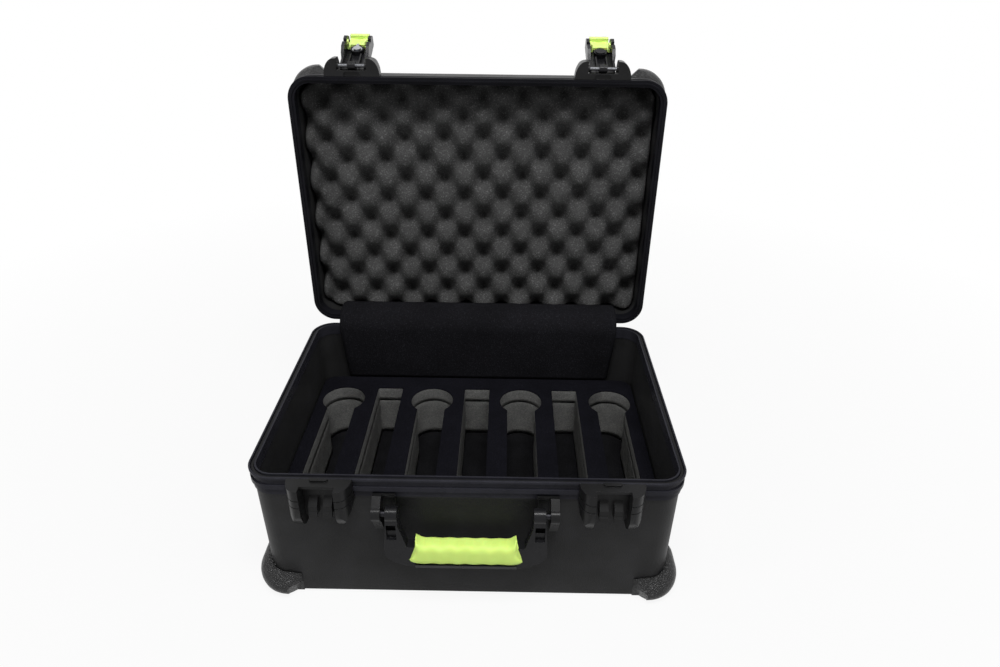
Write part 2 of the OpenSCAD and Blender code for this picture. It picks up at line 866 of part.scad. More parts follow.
module release() {
    ledge_u = [lever_l + play, lever_l + 6.2];
    difference() {
        union() {
            along_x(wu([[plate[0], 52], [plate[1], 52], [plate[1], ledge_u[1]],
                        [plate[0], ledge_u[1]]]), -plate_w + 0.6, plate_w - 0.6);
            along_x(wu([[-1.5, ledge_u[0]], [8.2, ledge_u[0]], [8.2, ledge_u[1] - 1],
                        [7.2, ledge_u[1]], [-0.5, ledge_u[1]], [-1.5, ledge_u[1] - 1]]),
                    -plate_w + 0.6, plate_w - 0.6);
            // thumb pad in the window
            along_x(wu([[plate[1] - 1, window_u[0] + play], [9.4, window_u[0] + play],
                        [9.4, window_u[1] - play], [plate[1] - 1, window_u[1] - play]]),
                    play - window_w / 2, window_w / 2 - play);
            for (m = [0, 1])
                mirror([m, 0, 0]) {
                    along_x(wu([[plate[0], toe_u + 2], [plate[1], toe_u + 2], [plate[1], 54],
                                [plate[0], 54]]), plate_w - 3.2, plate_w);
                    along_x(wu([[-6.2, toe_u], [-2.9, toe_u], [-2.9, toe_u + 2.1],
                                [plate[1], toe_u + 2.1], [plate[1], toe_u + 5],
                                [-6.2, toe_u + 5]]), plate_w - 2.4, plate_w - 0.6);
                }
        }
        // arch round the lock
        translate([0, 0, -lock_u])
            rotate([90, 0, 0])
                translate([0, 0, -9]) cylinder(r = lock_r + 3.6, h = 30);
        // crease down the middle
        translate([0, 0, -lever_l - play])
            linear_extrude(height = lever_l - 56)
                polygon([[-9, 2.2], [-9, -plate[0]], [0, -plate[0] - 1.4], [9, -plate[0]], [9, 2.2]]);
    }
}

module release_left() {
    color("#c8ee62") at_latch(-latch_x) release();
}

module release_right() {
    color("#c8ee62") at_latch(latch_x) release();
}

// Return spring of the slider: a small coil in the slot behind the thumb pad
spring_turns = 4;
spring_r = 0.9;
spring_wire = 0.25;

module release_spring() {
    u0 = window_u[1] - play + 0.35;
    u1 = window_u[1] + release_travel - 0.35;
    rings = spring_turns * 10;
    points = [for (i = [0:rings], k = [0:5])
        let (t = i / rings, a = 360 * spring_turns * t, r = spring_r + spring_wire * cos(60 * k))
        [r * cos(a), r * sin(a) - 6.2, -(u0 + (u1 - u0) * t) + spring_wire * sin(60 * k)]];
    polyhedron(points, concat(
        [[for (k = [0:5]) k]],
        [[for (k = [5:-1:0]) rings * 6 + k]],
        [for (i = [0:rings - 1], k = [0:5])
            [i * 6 + k, i * 6 + 6 + k, i * 6 + 6 + (k + 1) % 6]],
        [for (i = [0:rings - 1], k = [0:5])
            [i * 6 + k, i * 6 + 6 + (k + 1) % 6, i * 6 + (k + 1) % 6]]));
}

module release_spring_left() {
    color("#a8aaad") at_latch(-latch_x) release_spring();
}

module release_spring_right() {
    color("#a8aaad") at_latch(latch_x) release_spring();
}

// Key lock: a flanged barrel in the lever, a turning plug with a keyway and a cam
plug_r = 3.6;
cam_low = 0.75;
cam_t = 0.85;
cam_l = 7.7;

module at_lock() {
    translate([0, 0, -lock_u]) rotate([90, 0, 0]) children();
}

module lock_barrel() {
    color("#d4d6da")
        at_latch(-latch_x) at_lock()
            difference() {
                union() {
                    translate([0, 0, 2.2]) cylinder(r = lock_r, h = out_face(lock_u) - 2);
                    translate([0, 0, out_face(lock_u) + 0.1]) cylinder(r = lock_r + 1.4, h = 0.9);
                }
                cylinder(r = plug_r + running, h = 20);
            }
}

module lock_plug() {
    face = out_face(lock_u) + 0.8;
    color("#c4c6ca")
        at_latch(-latch_x) at_lock()
            difference() {
                union() {
                    translate([0, 0, cam_low]) {
                        cylinder(r = plug_r, h = face - cam_low);
                        cylinder(r = plug_r + 1, h = cam_t);
                        translate([-1.8, -cam_l, 0]) cube([3.6, cam_l, cam_t]);
                        translate([0, -cam_l, 0]) cylinder(r = 1.8, h = cam_t);
                    }
                }
                translate([-0.6, -2.6, face - 4]) cube([1.2, 5.2, 5]);
            }
}

// Plain round cap where the other lever has its lock
module lever_cap() {
    color("#1f2022")
        at_latch(latch_x) at_lock() {
            translate([0, 0, 0.8]) cylinder(r = lock_r, h = out_face(lock_u) - 0.8);
            translate([0, 0, out_face(lock_u) + 0.1]) cylinder(r = lock_r + 1.4, h = 0.9);
            translate([0, 0, out_face(lock_u) - 1]) cylinder(r = lock_r - 1, h = 1.5);
        }
}

// ---- lid ----

module lid_shell() {
    color("#26272a")
        open_lid()
            difference() {
                union() {
                    swept(shell_section(lid_h, lid_edge_r), 1);
                    floor_plate(lid_h, 1);
                }
                latch_screw_places() keeper_screw(play / 2);
            }
}

module lid_rim() {
    color("#2a2b30")
        open_lid()
            difference() {
                swept(lid_rim_section, 1);
                hinge_room();
                lid_screw_places() hinge_screw(play / 4);
            }
}

bumper_round = 9;

module lid_bumper(mx, my) {
    color("#1d1d1f")
        open_lid()
            mirror([mx, 0, 0]) mirror([0, my, 0])
                translate([0, 0, base_h]) mirror([0, 0, 1]) translate([0, 0, -base_h])
                    boot(lid_h + foot_drop, lid_h, lid_edge_r, bumper_out, bumper_peak, bumper_end,
                         bumper_round);
}

module bumper_front_left() lid_bumper(1, 1);
module bumper_front_right() lid_bumper(0, 1);
module bumper_back_left() lid_bumper(1, 0);
module bumper_back_right() lid_bumper(0, 0);

// ---- hinges: base knuckles outside, lid knuckle between them, a stop lug under the lid's leaf ----

mid_w = hinge_w / 2;
leaf_in = hinge_back + band_in;

module at_hinges() {
    for (x = [-hinge_pitch / 2, hinge_pitch / 2])
        translate([x, hinge_y, hinge_z]) children();
}

module base_hinge_leaves() {
    color("#1d1d1f")
        at_hinges()
            difference() {
                union() {
                    along_x([[-leaf_in, -leaf_h], [0, -leaf_h], [0, -knuckle_r - play],
                             [-leaf_in, -knuckle_r - play]], -hinge_w / 2, hinge_w / 2);
                    for (m = [0, 1])
                        mirror([m, 0, 0]) {
                            rod(knuckle_r, mid_w / 2 + play / 2, hinge_w / 2);
                            along_x([[-leaf_in, -leaf_h], [0, -leaf_h], [knuckle_r, 0],
                                     [-knuckle_r * 0.7, 0], [-leaf_in, -knuckle_r]],
                                    mid_w / 2 + play / 2, hinge_w / 2);
                        }
                    along_x([[-1, -leaf_h], [1, -leaf_h], [10, -5], [10, -0.2],
                             [knuckle_r + 0.8, -0.2], [knuckle_r + 0.8, -3.4], [-1, -7]],
                            play / 2 - mid_w / 2, mid_w / 2 - play / 2);
                }
                rod(hinge_pin_r + fit, -hinge_w / 2 - 1, hinge_w / 2 + 1);
                hinge_screw_pair(-1) hinge_screw(play / 4);
            }
}

module lid_hinge_leaves() {
    color("#1d1d1f")
        open_lid()
            at_hinges()
                difference() {
                    union() {
                        along_x([[-leaf_in, leaf_h], [0, leaf_h], [0, knuckle_r + play],
                                 [-leaf_in, knuckle_r + play]], -hinge_w / 2, hinge_w / 2);
                        rod(knuckle_r, play / 2 - mid_w / 2, mid_w / 2 - play / 2);
                        along_x([[-leaf_in, leaf_h], [0, leaf_h], [0, 0], [-knuckle_r * 0.7, 0],
                                 [-leaf_in, knuckle_r]],
                                play / 2 - mid_w / 2, mid_w / 2 - play / 2);
                    }
                    rod(hinge_pin_r + running, -hinge_w / 2, hinge_w / 2);
                    hinge_screw_pair(1) hinge_screw(play / 4);
                }
}

module hinge_pins() {
    color("#c9cbcf") at_hinges() rod(hinge_pin_r, 1 - hinge_w / 2, hinge_w / 2 - 1);
}

// Screws through a leaf into the rim's band; side is -1 on the base and 1 on the lid
screw_up = band_top + 1.6;

module hinge_screw_pair(side) {
    for (x = [-hinge_w / 2 + 9, hinge_w / 2 - 9])
        translate([x, 0, side * (screw_up - (side > 0 ? hinge_up : -hinge_up))]) children();
}

// Pan head outside, shank forwards into the rim
module hinge_screw(grow = 0) {
    rotate([90, 0, 0]) {
        cylinder(r = 1.6 + grow, h = leaf_in + 5 + grow);
        translate([0, 0, grow > 0 ? -12 : -1.8])
            cylinder(r = 3.1 + 2 * grow, h = grow > 0 ? 12 : 1.8);
    }
}

module base_screw_places() at_hinges() hinge_screw_pair(-1) children();
module lid_screw_places() at_hinges() hinge_screw_pair(1) children();

module base_hinge_screws() {
    color("#b8babd") base_screw_places() hinge_screw();
}

module lid_hinge_screws() {
    color("#b8babd") open_lid() lid_screw_places() hinge_screw();
}

// ---- handle ----

arm_x = handle_w / 2;
arm_t = 12;
bracket_x = arm_x + bracket_gap;

module at_handle() {
    translate([0, -case_d / 2 - handle_out, base_h - handle_drop]) children();
}

module handle_bracket(m) {
    foot_z = handle_drop - 66;
    color("#2a2b30")
        mirror([m, 0, 0])
            difference() {
                on_front_wall(-1)
                    union() {
                        at_handle() {
                            rod(boss_r, bracket_x, bracket_x + bracket_t);
                            along_x([[handle_out + 8, handle_drop - band_bot],
                                     [handle_out - 3, handle_drop - band_bot],
                                     [-boss_r + 1, 3], [-boss_r + 1, -3], [-3, -7],
                                     [handle_out, foot_z], [handle_out + 8, foot_z]],
                                    bracket_x, bracket_x + bracket_t);
                        }
                        at_front(bracket_x - 14)
                            along_x([[8, -band_bot], [-0.5, -band_bot], [-0.5, -band_bot - 1.5],
                                     [2, -skirt_bot - 1], [8, -skirt_bot - 1]], 0, 14.5);
                    }
                at_handle() rod(handle_pin_r + fit, bracket_x - 1, bracket_x + bracket_t - 2);
                bracket_screw_places() bracket_screw(play / 4);
            }
}

module handle_bracket_left() handle_bracket(1);
module handle_bracket_right() handle_bracket(0);

bracket_screw_hs = [28, 52];

module bracket_screw_places() {
    for (s = [-1, 1], h = bracket_screw_hs)
        translate([s * (bracket_x + bracket_t / 2),
                   shell_in + wall + lean(h) - case_d / 2 + soft_gap, base_h - h])
            children();
}

module bracket_screw(grow = 0) inside_screw(1.6, 7.5, 3, 2, grow);

module bracket_screws() {
    color("#b8babd") bracket_screw_places() bracket_screw();
}

module handle_pins() {
    color("#8c8e92")
        for (m = [0, 1])
            mirror([m, 0, 0])
                at_handle() rod(handle_pin_r, arm_x - arm_t + 2, bracket_x + bracket_t - 2.5);
}

grip_top = handle_l - 32;
grip_bot = handle_l - 5.5;

// Outline of the frame seen from the front, with the opening for the fingers
module handle_outline() {
    low = -handle_l;
    difference() {
        polygon(concat(
            [[-arm_x, 4], [-arm_x - 3, low + 28]],
            [for (a = [0:15:90]) [27 - arm_x - 30 * pow(cos(a), 1.25), low + 17 - 17 * pow(sin(a), 1.25)]],
            [for (a = [90:-15:0]) [arm_x - 27 + 30 * pow(cos(a), 1.25), low + 17 - 17 * pow(sin(a), 1.25)]],
            [[arm_x + 3, low + 28], [arm_x, 4]]));
        polygon([[arm_t - arm_x, 5], [arm_t - arm_x, -12], [arm_t - arm_x + 8, -grip_top - 4],
                 [arm_x - arm_t - 8, -grip_top - 4], [arm_x - arm_t, -12], [arm_x - arm_t, 5]]);
    }
}

module handle_frame() {
    color("#222326")
        at_handle()
            difference() {
                union() {
                    translate([0, handle_t / 2, 0])
                        rotate([90, 0, 0])
                            linear_extrude(height = handle_t) handle_outline();
                    for (m = [0, 1])
                        mirror([m, 0, 0]) rod(boss_r, arm_x - arm_t, arm_x);
                    // rounded foot that closes the grip from below
                    along_x([[-9, -grip_bot], [9, -grip_bot], [8, -handle_l + 1], [6, -handle_l],
                             [-6, -handle_l], [-8, -handle_l + 1]], 28 - arm_x, arm_x - 28);
                }
                for (m = [0, 1])
                    mirror([m, 0, 0]) {
                        rod(handle_pin_r + running, arm_x - arm_t + 1.5, arm_x + 1);
                        // stepped window in the arm
                        translate([arm_x - arm_t + 2, -handle_t, -31]) cube([10, handle_t - 2, 20]);
                        translate([arm_x - arm_t + 2, -handle_t, -21.5]) cube([10, handle_t + 2, 10.5]);
                    }
            }
}

// Soft grip: a saddle over the bar with shallow finger waves and flared lower ends
module handle_grip() {
    g = grip_w / 2;
    steps = 48;
    waves = 6;
    color("#c8ee62")
        at_handle()
            difference() {
                intersection() {
                    translate([0, grip_t, 0])
                        rotate([90, 0, 0])
                            linear_extrude(height = 2 * grip_t)
                                polygon(concat(
                                    [for (i = [0:steps])
                                        let (t = 2 * i / steps - 1)
                                        [t * g, -grip_top - 1.2 + 6.5 * pow(abs(t), 14)
                                                + 0.7 * cos(360 * waves * (t + 1) / 2)]],
                                    [[g + 1, -grip_bot + 14], [g + 6, -grip_bot + 8],
                                     [g + 7, -grip_bot + 5.5], [g + 5, -grip_bot + 2],
                                     [g + 2, -grip_bot], [-g - 2, -grip_bot],
                                     [-g - 5, -grip_bot + 2], [-g - 7, -grip_bot + 5.5],
                                     [-g - 6, -grip_bot + 8], [-g - 1, -grip_bot + 14]]));
                    along_x(concat(
                        arc([grip_t / 2 - 9, -grip_top - 5], 9, 0, 90),
                        arc([9 - grip_t / 2, -grip_top - 5], 9, 90, 180),
                        [[-grip_t / 2, -grip_bot + 5], [-grip_t / 2 + 2, -grip_bot],
                         [grip_t / 2 - 2, -grip_bot], [grip_t / 2, -grip_bot + 5]]),
                            -arm_x, arm_x);
                }
                translate([-arm_x, -handle_t / 2, -handle_l]) cube([2 * arm_x, handle_t,
                                                                  handle_l - grip_top - 4]);
            }
}

base_shell();
base_rim();
rim_seal();
foot_front_left();
foot_front_right();
foot_back_left();
foot_back_right();
foam_top_sheet();
foam_tray_body();
foam_base_pad();
hinge_cover_base();
keeper_left();
keeper_right();
keeper_screws();
handle_bracket_left();
handle_bracket_right();
handle_pins();
bracket_screws();
base_hinge_leaves();
hinge_pins();
base_hinge_screws();
lid_shell();
lid_rim();
lid_foam();
hinge_cover_lid();
bumper_front_left();
bumper_front_right();
bumper_back_left();
bumper_back_right();
lid_hinge_leaves();
lid_hinge_screws();
latch_bracket_left();
latch_bracket_right();
latch_pins();
latch_screws();
lever_left();
lever_right();
release_left();
release_right();
release_spring_left();
release_spring_right();
lock_barrel();
lock_plug();
lever_cap();
handle_frame();
handle_grip();
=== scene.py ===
"""Looks for a hard carrying case that stands open: black moulded shells, foam and lime-green grips."""

import json
import math

import bmesh
import bpy
import numpy as np
from mathutils import Matrix, Vector
from mathutils.geometry import delaunay_2d_cdt

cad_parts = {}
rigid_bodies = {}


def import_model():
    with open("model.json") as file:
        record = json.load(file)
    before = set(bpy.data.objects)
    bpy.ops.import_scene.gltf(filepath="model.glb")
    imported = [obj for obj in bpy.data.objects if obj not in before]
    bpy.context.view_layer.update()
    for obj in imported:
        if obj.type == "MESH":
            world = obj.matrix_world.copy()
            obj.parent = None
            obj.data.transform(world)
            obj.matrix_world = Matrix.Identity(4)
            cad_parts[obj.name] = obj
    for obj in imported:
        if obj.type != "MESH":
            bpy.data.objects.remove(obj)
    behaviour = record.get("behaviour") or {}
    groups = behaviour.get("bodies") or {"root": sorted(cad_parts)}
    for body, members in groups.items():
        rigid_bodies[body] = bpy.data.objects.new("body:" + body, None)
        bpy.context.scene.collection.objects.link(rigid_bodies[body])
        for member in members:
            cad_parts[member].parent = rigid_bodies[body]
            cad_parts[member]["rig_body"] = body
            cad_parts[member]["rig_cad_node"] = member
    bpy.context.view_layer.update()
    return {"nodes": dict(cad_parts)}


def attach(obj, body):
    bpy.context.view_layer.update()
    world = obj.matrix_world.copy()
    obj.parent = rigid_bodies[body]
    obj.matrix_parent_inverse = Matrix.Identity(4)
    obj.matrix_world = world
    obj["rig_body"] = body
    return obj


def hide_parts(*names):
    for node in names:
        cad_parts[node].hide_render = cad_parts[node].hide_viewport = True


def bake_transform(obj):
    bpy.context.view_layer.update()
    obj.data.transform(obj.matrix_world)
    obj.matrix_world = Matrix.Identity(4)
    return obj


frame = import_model()
NODES = frame["nodes"]
MM = 0.001

# sizes shared with the case's solids, in millimetres
CASE_W, CASE_D, BASE_H = 452.0, 324.4, 169.0
CORNER_R, WALL, SHELL_IN = 28.0, 3.5, 3.5
HINGE_Y, HINGE_Z = CASE_D / 2 + 2.7, BASE_H + 0.8
LEAN = math.tan(math.radians(1))
WALL_LEAN, TRAY_LEAN, LID_LEAN = 2.95, 1.344, 1.0    # how far walls lean in, at floors and tray top
SIDE_GAP, SOFT_GAP = 1.2, 0.3                        # kept free beside the foam
RECESS_W, RECESS_D = 148.0, 9.0


# ---- materials ----

def linear(hex_colour):
    """A hex colour in sRGB as linear red, green, blue and alpha."""
    values = [int(hex_colour[i:i + 2], 16) / 255 for i in (1, 3, 5)]
    return [v / 12.92 if v <= 0.04045 else ((v + 0.055) / 1.055) ** 2.4 for v in values] + [1.0]


def link(material, output, socket):
    """One link in a material's tree."""
    material.node_tree.links.new(output, socket)


def add(material, kind, settings=None, **links):
    """One node with its settings; a link names an input, or _2 for input number 2, and gives a socket."""
    made = material.node_tree.nodes.new(kind)
    settings = settings or {}
    modes = [key for key in settings if isinstance(key, str) and hasattr(made, key)]
    for key in modes:
        setattr(made, key, settings[key])
    for key in settings.keys() - set(modes):
        made.inputs[key].default_value = settings[key]
    for key, socket in links.items():
        place = int(key[1:]) if key[0] == "_" else key.replace("_", " ")
        link(material, socket, made.inputs[place])
    return made


def new_material(name, colour, roughness, **shader):
    """A Principled surface with its own colour and roughness; shader holds further sockets of it."""
    material = bpy.data.materials.new(name)
    material.use_nodes = True
    surface = material.node_tree.nodes["Principled BSDF"]
    surface.inputs["Base Color"].default_value = linear(colour)
    surface.inputs["Roughness"].default_value = roughness
    for key, value in shader.items():
        surface.inputs[key.replace("_", " ")].default_value = value
    return material, surface


def mottled(material, surface, dark, light, size_mm, detail=3.0, spread=0.35):
    """Colour that drifts between two shades in blotches of about size_mm."""
    place = add(material, "ShaderNodeTexCoord").outputs["Object"]
    noise = add(material, "ShaderNodeTexNoise",
                {"Scale": 1000 / size_mm, "Detail": detail}, Vector=place)
    ramp = add(material, "ShaderNodeValToRGB", {}, Fac=noise.outputs["Fac"])
    ramp.color_ramp.elements[0].position = 0.5 - spread / 2
    ramp.color_ramp.elements[1].position = 0.5 + spread / 2
    ramp.color_ramp.elements[0].color = linear(dark)
    ramp.color_ramp.elements[1].color = linear(light)
    link(material, ramp.outputs["Color"], surface.inputs["Base Color"])
    return place, ramp


def moulded_polyethylene():
    """Spark-eroded mould texture: fine round pebbles about 0.9 mm apart, drawn at 1.2 mm so they show."""
    material, surface = new_material("moulded_polyethylene", "#1c1c1d", 0.48, Specular_IOR_Level=0.12)
    place, _ = mottled(material, surface, "#202020", "#262627", 38)
    pebble = add(material, "ShaderNodeTexVoronoi", {"Scale": 1000 / 1.2, "Smoothness": 0.6,
                                                    "feature": "SMOOTH_F1"}, Vector=place)
    drift = add(material, "ShaderNodeTexNoise", {"Scale": 1000 / 30, "Detail": 4.0}, Vector=place)
    both = add(material, "ShaderNodeMath", {"operation": "ADD"},
               _0=pebble.outputs["Distance"], _1=drift.outputs["Fac"])
    bump = add(material, "ShaderNodeBump", {"Strength": 0.6, "Distance": 0.0003},
               Height=both.outputs["Value"])
    rough = add(material, "ShaderNodeMapRange", {"To Min": 0.36, "To Max": 0.52},
                Value=drift.outputs["Fac"])
    link(material, bump.outputs["Normal"], surface.inputs["Normal"])
    link(material, rough.outputs["Result"], surface.inputs["Roughness"])
    return material


def glass_filled_nylon(name, colour, lighter, rough=(0.22, 0.34), grain_mm=0.7, specular=0.14):
    """A moulded face, of glass-filled nylon or plain rubber: a faint glossy skin with a fine grain."""
    material, surface = new_material(name, colour, 0.4, Specular_IOR_Level=specular)
    place, _ = mottled(material, surface, colour, lighter, 26)
    grain = add(material, "ShaderNodeTexNoise", {"Scale": 1000 / grain_mm, "Detail": 3.0},
                Vector=place)
    wear = add(material, "ShaderNodeTexNoise", {"Scale": 1000 / 14, "Detail": 5.0}, Vector=place)
    bump = add(material, "ShaderNodeBump", {"Strength": 0.22, "Distance": 0.00012},
               Height=grain.outputs["Fac"])
    spread = add(material, "ShaderNodeMapRange", {"To Min": rough[0], "To Max": rough[1]},
                 Value=wear.outputs["Fac"])
    link(material, bump.outputs["Normal"], surface.inputs["Normal"])
    link(material, spread.outputs["Result"], surface.inputs["Roughness"])
    return material


def grained_rubber():
    """Moulded rubber with a leather grain: creased cells about 2 mm across that catch the light."""
    material, surface = new_material("grained_rubber", "#0e0e0f", 0.36, Specular_IOR_Level=0.32)
    place, _ = mottled(material, surface, "#0c0c0d", "#121213", 12)
    cells = add(material, "ShaderNodeTexVoronoi", {"Scale": 1000 / 2.1, "feature": "DISTANCE_TO_EDGE"},
                Vector=place)
    crease = add(material, "ShaderNodeMapRange", {"From Max": 0.28}, Value=cells.outputs["Distance"])
    grit = add(material, "ShaderNodeTexNoise", {"Scale": 1000 / 0.9, "Detail": 4.0}, Vector=place)
    both = add(material, "ShaderNodeMath", {"operation": "ADD"},
               _0=crease.outputs["Result"], _1=grit.outputs["Fac"])
    bump = add(material, "ShaderNodeBump", {"Strength": 0.75, "Distance": 0.0006},
               Height=both.outputs["Value"])
    rough = add(material, "ShaderNodeMapRange", {"To Min": 0.22, "To Max": 0.38},
                Value=grit.outputs["Fac"])
    link(material, bump.outputs["Normal"], surface.inputs["Normal"])
    link(material, rough.outputs["Result"], surface.inputs["Roughness"])
    return material


def foam(name, dark, light, cell_mm, depth_mm, blotch_mm=22, painted_glints=0.0):
    """Open-cell polyurethane foam: a matt face of torn cells, with painted shade in the cell hollows and
    painted highlights on some cell skins.
    """
    material, surface = new_material(name, dark, 0.95, Specular_IOR_Level=0.04)
    place, blotches = mottled(material, surface, dark, light, blotch_mm, 5.0, 0.5)
    cells = add(material, "ShaderNodeTexVoronoi", {"Scale": 1000 / cell_mm}, Vector=place)
    torn = add(material, "ShaderNodeTexNoise", {"Scale": 1000 / (cell_mm * 2.4), "Detail": 6.0,
                                                "Roughness": 0.7}, Vector=place)
    both = add(material, "ShaderNodeMath", {"operation": "ADD"},
               _0=cells.outputs["Distance"], _1=torn.outputs["Fac"])
    # painted shade: the colour darkens towards each cell's hollow, where the bump sinks, and lightens on
    # the cell walls
    painted_shade = add(material, "ShaderNodeMapRange", {"From Min": 0.45, "From Max": 1.3,
                                                 "To Min": 0.62, "To Max": 1.25},
                Value=both.outputs["Value"])
    # painted highlight: a random share of the cells gets a brighter colour, as if their skins caught the
    # light
    chance = add(material, "ShaderNodeSeparateColor", {}, Color=cells.outputs["Color"])
    painted_glint = add(material, "ShaderNodeMapRange", {"From Min": 0.82, "From Max": 1.0, "To Min": 0.0,
                                                 "To Max": painted_glints},
                Value=chance.outputs["Red"])
    lit = add(material, "ShaderNodeMath", {"operation": "ADD"},
              _0=painted_shade.outputs["Result"], _1=painted_glint.outputs["Result"])
    # the foam's blotchy colour times the painted shade and the painted highlights
    painted_light_colour = add(material, "ShaderNodeMix", {"data_type": "RGBA", "blend_type": "MULTIPLY", 0: 1.0},
               _6=blotches.outputs["Color"], _7=lit.outputs["Value"])
    bump = add(material, "ShaderNodeBump", {"Strength": 0.8, "Distance": depth_mm * MM},
               Height=both.outputs["Value"])
    link(material, painted_light_colour.outputs[2], surface.inputs["Base Color"])
    link(material, bump.outputs["Normal"], surface.inputs["Normal"])
    return material


def lime(name, colour, lighter, roughness, grain_mm, depth_mm, specular=0.45):
    """Lime-green polymer: even colour, slightly paler in soft patches, with a fine moulded grain."""
    material, surface = new_material(name, colour, roughness, Specular_IOR_Level=specular,
                                     Subsurface_Weight=0.08, Subsurface_Scale=0.003)
    place, _ = mottled(material, surface, colour, lighter, 30, 2.0, 0.6)
    grain = add(material, "ShaderNodeTexNoise", {"Scale": 1000 / grain_mm, "Detail": 3.0},
                Vector=place)
    bump = add(material, "ShaderNodeBump", {"Strength": 0.3, "Distance": depth_mm * MM},
               Height=grain.outputs["Fac"])
    link(material, bump.outputs["Normal"], surface.inputs["Normal"])
    return material


def metal(name, colour, roughness, streak_mm=0.4):
    """Metal with fine drawing marks that spread its highlights here and there."""
    material, surface = new_material(name, colour, roughness, Metallic=1.0)
    place = add(material, "ShaderNodeTexCoord").outputs["Object"]
    marks = add(material, "ShaderNodeTexNoise", {"Scale": 1000 / streak_mm, "Detail": 2.0},
                Vector=place)
    spread = add(material, "ShaderNodeMapRange", {"To Min": roughness * 0.8, "To Max": roughness * 1.3},
                 Value=marks.outputs["Fac"])
    bump = add(material, "ShaderNodeBump", {"Strength": 0.1, "Distance": 0.00005},
               Height=marks.outputs["Fac"])
    link(material, spread.outputs["Result"], surface.inputs["Roughness"])
    link(material, bump.outputs["Normal"], surface.inputs["Normal"])
    return material


SHELL = moulded_polyethylene()
TRIM = glass_filled_nylon("glass_filled_nylon", "#25252a", "#2c2c32", specular=0.05)
GUARD = glass_filled_nylon("guard_nylon", "#151515", "#1b1b1c", (0.24, 0.34), 0.5, 0.13)
# the lid rim's nylon, darker than the base rim's: painted shade for its face, which gets little light with
# the lid standing open
LID_TRIM_PAINTED_SHADE = glass_filled_nylon("lid_nylon_painted_shade", "#111114", "#16161a", (0.26, 0.36), 0.7, 0.04)
LEVER = glass_filled_nylon("satin_nylon", "#151517", "#1b1b1d", (0.2, 0.32), 0.5)
FOOT = grained_rubber()
SEAL = glass_filled_nylon("gasket_rubber", "#101011", "#151517", (0.45, 0.6), 0.4)
# the last number of each foam is the strength of its painted highlights on cell skins
CRATE_FOAM = foam("convoluted_foam", "#363636", "#424242", 1.25, 0.9, 22, 1.1)
TOP_FOAM = foam("laminated_felt", "#0b0b0f", "#111116", 0.9, 0.25, 40, 0.8)
BODY_FOAM = foam("cut_foam", "#5e5e5d", "#6c6c6a", 1.1, 0.5, 14, 0.4)
PAD_FOAM = foam("pad_foam", "#111112", "#18181a", 1.2, 0.4)
COVER_FOAM = foam("fine_cell_foam", "#101012", "#17171a", 0.9, 0.4, 60, 1.4)
LIME_PLASTIC = lime("lime_plastic", "#d1ea80", "#d8ef8a", 0.38, 0.6, 0.08, 0.3)
LIME_RUBBER = lime("lime_rubber", "#cdea72", "#d5f17e", 0.55, 0.8, 0.16, 0.3)
STEEL = metal("drawn_steel", "#808286", 0.34)
SATIN_STEEL = metal("satin_steel", "#5c5d60", 0.42)
DARK_STEEL = metal("blackened_steel", "#2a2a2d", 0.45)
CHROME = metal("polished_chrome", "#b4b6ba", 0.14)


# ---- mesh helpers ----

def new_piece(name, points_mm, faces, material, body, nodes=()):
    """A mesh piece from points in millimetres, riding on a body in place of some solids."""
    mesh = bpy.data.meshes.new(name)
    mesh.from_pydata((np.asarray(points_mm, float) * MM).tolist(), [], faces)
    mesh.validate()
    mesh.materials.append(material)
    mesh.polygons.foreach_set("use_smooth", [True] * len(mesh.polygons))
    piece = bpy.data.objects.new(name, mesh)
    bpy.context.scene.collection.objects.link(piece)
    if body:
        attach(piece, body)
    if nodes:
        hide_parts(*nodes)
    return piece


def grid_faces(rows, columns, start=0, closed=False):
    """Quads of a grid of points laid out row by row; closed joins each row's end to its start."""
    i, j = np.meshgrid(np.arange(rows - 1), np.arange(columns if closed else columns - 1),
                       indexing="ij")
    nxt = (j + 1) % columns
    quads = np.stack([i * columns + j, i * columns + nxt, (i + 1) * columns + nxt,
                      (i + 1) * columns + j], -1)
    return (quads.reshape(-1, 4) + start).tolist()


MERGE_M, FLAT_DEG, EDGE_DEG = 2e-6, 0.6, 28.0


def softened(node, material, width_mm, segments=2, shape=None):
    """A copy of a solid with its loose triangles merged, flats cleaned and edges rounded by width_mm.

    shape, where given, takes the merged points in millimetres and answers where they go.
    """
    copy = NODES[node].copy()
    copy.data = NODES[node].data.copy()
    copy.parent = None
    copy.name = node + "_finished"
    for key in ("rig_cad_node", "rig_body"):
        if key in copy:
            del copy[key]
    bpy.context.scene.collection.objects.link(copy)
    work = bmesh.new()
    work.from_mesh(copy.data)
    bmesh.ops.remove_doubles(work, verts=work.verts, dist=MERGE_M)
    bmesh.ops.dissolve_limit(work, angle_limit=math.radians(FLAT_DEG), verts=work.verts,
                             edges=work.edges, delimit=set())
    bmesh.ops.dissolve_degenerate(work, dist=MERGE_M, edges=work.edges)
    if shape:
        points = shape(np.array([copy.matrix_world @ v.co for v in work.verts]) / MM)
        back = copy.matrix_world.inverted()
        for vertex, point in zip(work.verts, points):
            vertex.co = back @ Vector(point * MM)
    work.to_mesh(copy.data)
    work.free()
    if "custom_normal" in copy.data.attributes:
        copy.data.attributes.remove(copy.data.attributes["custom_normal"])
    copy.data.materials.clear()
    copy.data.materials.append(material)
    copy.data.polygons.foreach_set("use_smooth", [True] * len(copy.data.polygons))
    bevel = copy.modifiers.new("rounded_edges", "BEVEL")
    bevel.width = width_mm * MM
    bevel.segments = segments
    bevel.limit_method = "ANGLE"
    bevel.angle_limit = math.radians(EDGE_DEG)
    bevel.harden_normals = True
    bevel.use_clamp_overlap = True
    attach(copy, NODES[node]["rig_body"])
    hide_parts(node)


